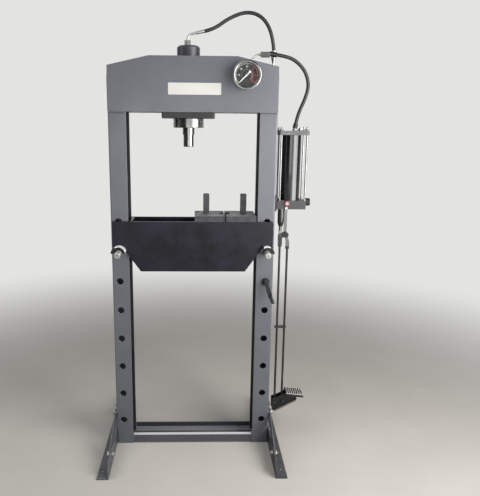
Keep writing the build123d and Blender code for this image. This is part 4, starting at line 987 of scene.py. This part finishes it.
def dial_marks(work, steps, long_every, inner_long, inner_short, outer, half):
    """Marks of one scale, with a longer one at each number."""
    for step in range(steps + 1):
        inner = inner_long if step % long_every == 0 else inner_short
        corners = ((inner, -half), (outer, -half), (outer, half), (inner, half))
        print_on_dial(work, [dial_place(radius, step / steps, aside) for radius, aside in corners])


def dial_number(work, number):
    """A plain number on the dial."""
    text = bpy.data.curves.new("number", "FONT")
    text.body = str(number)
    text.size = NUMBER_SIZE
    text.align_x = "CENTER"
    text.align_y = "CENTER"
    text.extrude = PRINT_THICKNESS / 2
    holder = scene_object("number", text)
    mesh = bpy.data.meshes.new_from_object(holder)
    x, z = dial_place(NUMBER_RADIUS, number / SCALE_LAST)
    middle = Matrix.Translation((x, DIAL_FRONT - PRINT_THICKNESS / 2, z))
    mesh.transform(middle @ Matrix.Rotation(math.pi / 2, 4, "X"))
    work.from_mesh(mesh)
    bpy.data.objects.remove(holder)
    bpy.data.meshes.remove(mesh)


def white_marks(work):
    """Marks of both scales, the white arc, and the numbers before the red band."""
    dial_marks(work, steps=60, long_every=10, inner_long=0.0385, inner_short=0.0425,
               outer=OUTER_SCALE, half=0.0004)
    dial_marks(work, steps=42, long_every=6, inner_long=0.0190, inner_short=0.0205,
               outer=0.0225, half=0.0002)
    print_on_dial(work, arc_band(OUTER_SCALE, OUTER_WHITE_EDGE, 0.0, RED_SHARE))
    for number in range(0, RED_FROM_NUMBER, 10):
        dial_number(work, number)


def red_marks(work):
    """The red bands of both scales, and the numbers beside them."""
    print_on_dial(work, arc_band(OUTER_SCALE, OUTER_RED_EDGE, RED_SHARE, 1.0))
    print_on_dial(work, arc_band(*INNER_RED_BAND, RED_SHARE, 1.0))
    for number in range(RED_FROM_NUMBER, SCALE_LAST + 10, 10):
        dial_number(work, number)


def add_gauge_face():
    """Scale, numbers and red band of the pressure gauge, and the needle's hub."""
    for name, maker, finish, slot in (
        ("gauge_scale", white_marks, "white_print", "needle"),
        ("gauge_red_scale", red_marks, "red_print", "red_plastic"),
    ):
        new_piece(name, mesh_from(name, maker), finish, "frame", smooth=False)
    mesh = mesh_from("needle_hub", lambda work: prism(
        work, disc(GAUGE_X, GAUGE_Z, HUB_RADIUS), HUB_BACK, HUB_FRONT))
    new_piece("needle_hub", mesh, "chrome", "needle", smooth=False)


# Small marks on caps and pins, the pins' dark centre discs being painted shade of their centre
# drillings, and the crimped rings of the hose sleeves
CAP_X = 0.407
CAP_Z = 1.140
CAP_CENTRE_RADIUS = 0.0062
CAP_CENTRE_BACK = -0.058
CAP_CENTRE_FRONT = -0.0590
PIN_MARK_RADIUS = 0.0030
PIN_MARK_BACK = -0.1345
PIN_MARK_FRONT = -0.1347
RING_COUNT = 3
RING_THICKNESS = 0.0009


def add_small_parts():
    """Cap centre, pin centre discs of painted shade, crimped rings on the hose sleeves."""
    mesh = mesh_from("cap_centre", lambda work: prism(
        work, disc(CAP_X, CAP_Z, CAP_CENTRE_RADIUS), CAP_CENTRE_BACK, CAP_CENTRE_FRONT))
    new_piece("cap_centre", mesh, "white_plastic", "frame", smooth=False)
    for pin, side in (("left_pin", -1), ("right_pin", 1)):
        mark = disc(side * PIN_X, PIN_Z, PIN_MARK_RADIUS)
        name = pin + "_centre"
        mesh = mesh_from(name, lambda work: prism(work, mark, PIN_MARK_BACK, PIN_MARK_FRONT))
        new_piece(name, mesh, "drilled_dark", pin, smooth=False)
    for name, body, finish, (end, inward), radius, spread in (
        ("pump_hose_start_rings", "frame", "satin_black", PUMP_HOSE_ROUTE[:2], 0.010, 0.006),
        ("pump_hose_end_rings", "frame", "satin_black", PUMP_HOSE_ROUTE[:-3:-1], 0.010, 0.004),
        ("cylinder_hose_start_rings", "head", "zinc", CYLINDER_HOSE_ROUTE[:2], 0.0065, 0.006),
        ("cylinder_hose_end_rings", "frame", "zinc", CYLINDER_HOSE_ROUTE[:-3:-1], 0.010, 0.004),
    ):
        back = (Vector(end) - Vector(inward)).normalized()
        places = [Vector(end) + back * spread * (step + 0.5) for step in range(RING_COUNT)]

        def rings(work):
            """The crimped rings of one sleeve."""
            for place in places:
                crimp_ring(work, place, back, radius, RING_THICKNESS)

        new_piece(name, mesh_from(name, rings), finish, body)


# Weld beads: under the beam, up its ends, and round the floor angles' ends
BEAM_WELD_FROM_X = 0.283
BEAM_WELD_TO_X = 0.350
BEAM_WELD_Y = 0.0628
BEAM_WELD_Z = 1.5200
BEAM_WELD_RADIUS = 0.0032
END_WELD_X = 0.3525
END_WELD_Y = 0.0635
END_WELD_FROM_Z = 1.524
END_WELD_TO_Z = 1.6665
END_WELD_RADIUS = 0.0026
MEMBER_WELD_X = 0.2795
MEMBER_WELDS = (
    ((-0.0615, 0.010), (-0.0615, 0.041), 0.0026),
    ((-0.0600, 0.0435), (-0.0440, 0.0435), 0.0024),
    ((0.0560, 0.018), (0.0560, 0.038), 0.0024),
)


def frame_beads(work):
    """Every weld bead of the frame."""
    for side in (-1, 1):
        for face in (-1, 1):
            start = (side * BEAM_WELD_FROM_X, face * BEAM_WELD_Y, BEAM_WELD_Z)
            end = (side * BEAM_WELD_TO_X, face * BEAM_WELD_Y, BEAM_WELD_Z)
            weld_bead(work, start, end, BEAM_WELD_RADIUS)
            start = (side * END_WELD_X, face * END_WELD_Y, END_WELD_FROM_Z)
            end = (side * END_WELD_X, face * END_WELD_Y, END_WELD_TO_Z)
            weld_bead(work, start, end, END_WELD_RADIUS)
        for start, end, radius in MEMBER_WELDS:
            weld_bead(work, (side * MEMBER_WELD_X, *start), (side * MEMBER_WELD_X, *end), radius)


def add_welds():
    """Weld beads where the beam plates and the cross members meet the uprights."""
    mesh = mesh_from("frame_welds", frame_beads)
    new_piece("frame_welds", mesh, "frame_paint", "frame")


# Stage: floor, background and lamps

BACKGROUND = (0.775, 0.770, 0.755)
ROOM_SHADE = (0.020, 0.021, 0.023)
AMBIENT_COLOUR = (0.93, 0.96, 1.0)
AMBIENT_STRENGTH = 0.16
FLOOR_NEAR = (0.46, 0.44, 0.405)
FLOOR_CLOUD = tuple(0.94 * part for part in FLOOR_NEAR)
FLOOR_RADIUS = 14.0
FLOOR_FADES_FROM = 1.1
FLOOR_FADES_TO = 3.6
WINDOW_COLOUR = (1.0, 0.99, 0.97)


def add_floor():
    """A large pale floor that fades into the background far away."""
    mesh = mesh_from("floor", lambda work: bmesh.ops.create_circle(
        work, cap_ends=True, segments=64, radius=FLOOR_RADIUS))
    floor = scene_object("floor", mesh)
    material, tree, shader = new_material("pale_floor", FLOOR_NEAR, roughness=0.7)
    place = object_place(tree)
    distance = node(tree, "ShaderNodeVectorMath", {0: place}, operation="LENGTH").outputs["Value"]
    far = ramp(tree, distance, FLOOR_FADES_FROM, FLOOR_FADES_TO)
    cloud = ramp(tree, noise(tree, place, scale=3.0, detail=5.0), low=0.3, high=0.7)
    tree.links.new(blend_colours(tree, cloud, FLOOR_NEAR, FLOOR_CLOUD),
                   shader.inputs["Base Color"])
    glow = node(tree, "ShaderNodeEmission", {"Color": (*BACKGROUND, 1), "Strength": 1.0})
    mixed = node(tree, "ShaderNodeMixShader", {0: far, 1: shader.outputs[0], 2: glow.outputs[0]})
    tree.links.new(mixed.outputs[0], tree.nodes["Material Output"].inputs["Surface"])
    mesh.materials.append(material)


def add_world():
    """Soft room light: a pale wall to the camera and glass, and a shaded room to gloss."""
    world = bpy.data.worlds.new("room")
    bpy.context.scene.world = world
    world.use_nodes = True
    tree = world.node_tree
    tree.nodes.clear()

    def light(colour, strength):
        """One of the room's lights."""
        return node(tree, "ShaderNodeBackground", {"Color": colour, "Strength": strength})

    seen = light((*BACKGROUND, 1), 1.0)
    ambient = light((*AMBIENT_COLOUR, 1), AMBIENT_STRENGTH)
    towards = node(tree, "ShaderNodeTexCoord").outputs["Generated"]
    to_the_back = ramp(tree, split(tree, towards)["Y"], low=0.10, high=0.75)
    mirrored = light(blend_colours(tree, to_the_back, ROOM_SHADE, BACKGROUND), 1.0)
    ray = node(tree, "ShaderNodeLightPath").outputs
    indirect = node(tree, "ShaderNodeMixShader",
                    {0: ray["Is Glossy Ray"], 1: ambient.outputs[0], 2: mirrored.outputs[0]})
    direct = plus(tree, ray["Is Camera Ray"], ray["Is Transmission Ray"], clamp=True)
    mixed = node(tree, "ShaderNodeMixShader",
                 {0: direct, 1: indirect.outputs[0], 2: seen.outputs[0]})
    output = node(tree, "ShaderNodeOutputWorld", {"Surface": mixed.outputs[0]})
    output.is_active_output = True


def add_lamp(name, place, aim, size, power, colour=(1.0, 1.0, 1.0)):
    """A soft oblong lamp that looks at a point."""
    lamp_data = bpy.data.lights.new(name, "AREA")
    lamp_data.shape = "RECTANGLE"
    lamp_data.size, lamp_data.size_y = size
    lamp_data.energy = power
    lamp_data.color = colour
    lamp = scene_object(name, lamp_data)
    lamp.location = place
    lamp.rotation_euler = (Vector(aim) - Vector(place)).to_track_quat("-Z", "Y").to_euler()


def add_lights():
    """A window and a wall behind the camera, a window at the right, and two lamps from above."""
    add_lamp("front_window", place=(1.90, -3.3, 1.00), aim=(0.3, 0.0, 1.0), size=(2.6, 1.8),
             power=38, colour=WINDOW_COLOUR)
    add_lamp("front_wall", place=(-0.20, -3.3, 1.30), aim=(0.0, 0.0, 1.3), size=(1.5, 0.6),
             power=13)
    add_lamp("key_window", place=(1.45, -1.05, 1.58), aim=(0.2, 0.0, 1.20), size=(1.3, 1.6),
             power=62, colour=WINDOW_COLOUR)
    add_lamp("ceiling", place=(-1.5, -1.1, 3.4), aim=(-0.6, 0.0, 0.1), size=(3.0, 3.0),
             power=44)
    add_lamp("floor_fill", place=(-1.9, -0.5, 1.9), aim=(-1.2, -0.1, 0.0), size=(1.0, 1.0),
             power=9)


add_camera()
add_hoses()
finish_nodes()
add_label()
add_gauge_face()
add_small_parts()
add_welds()
add_world()
add_floor()
add_lights()

bpy.context.scene.view_settings.view_transform = "Standard"
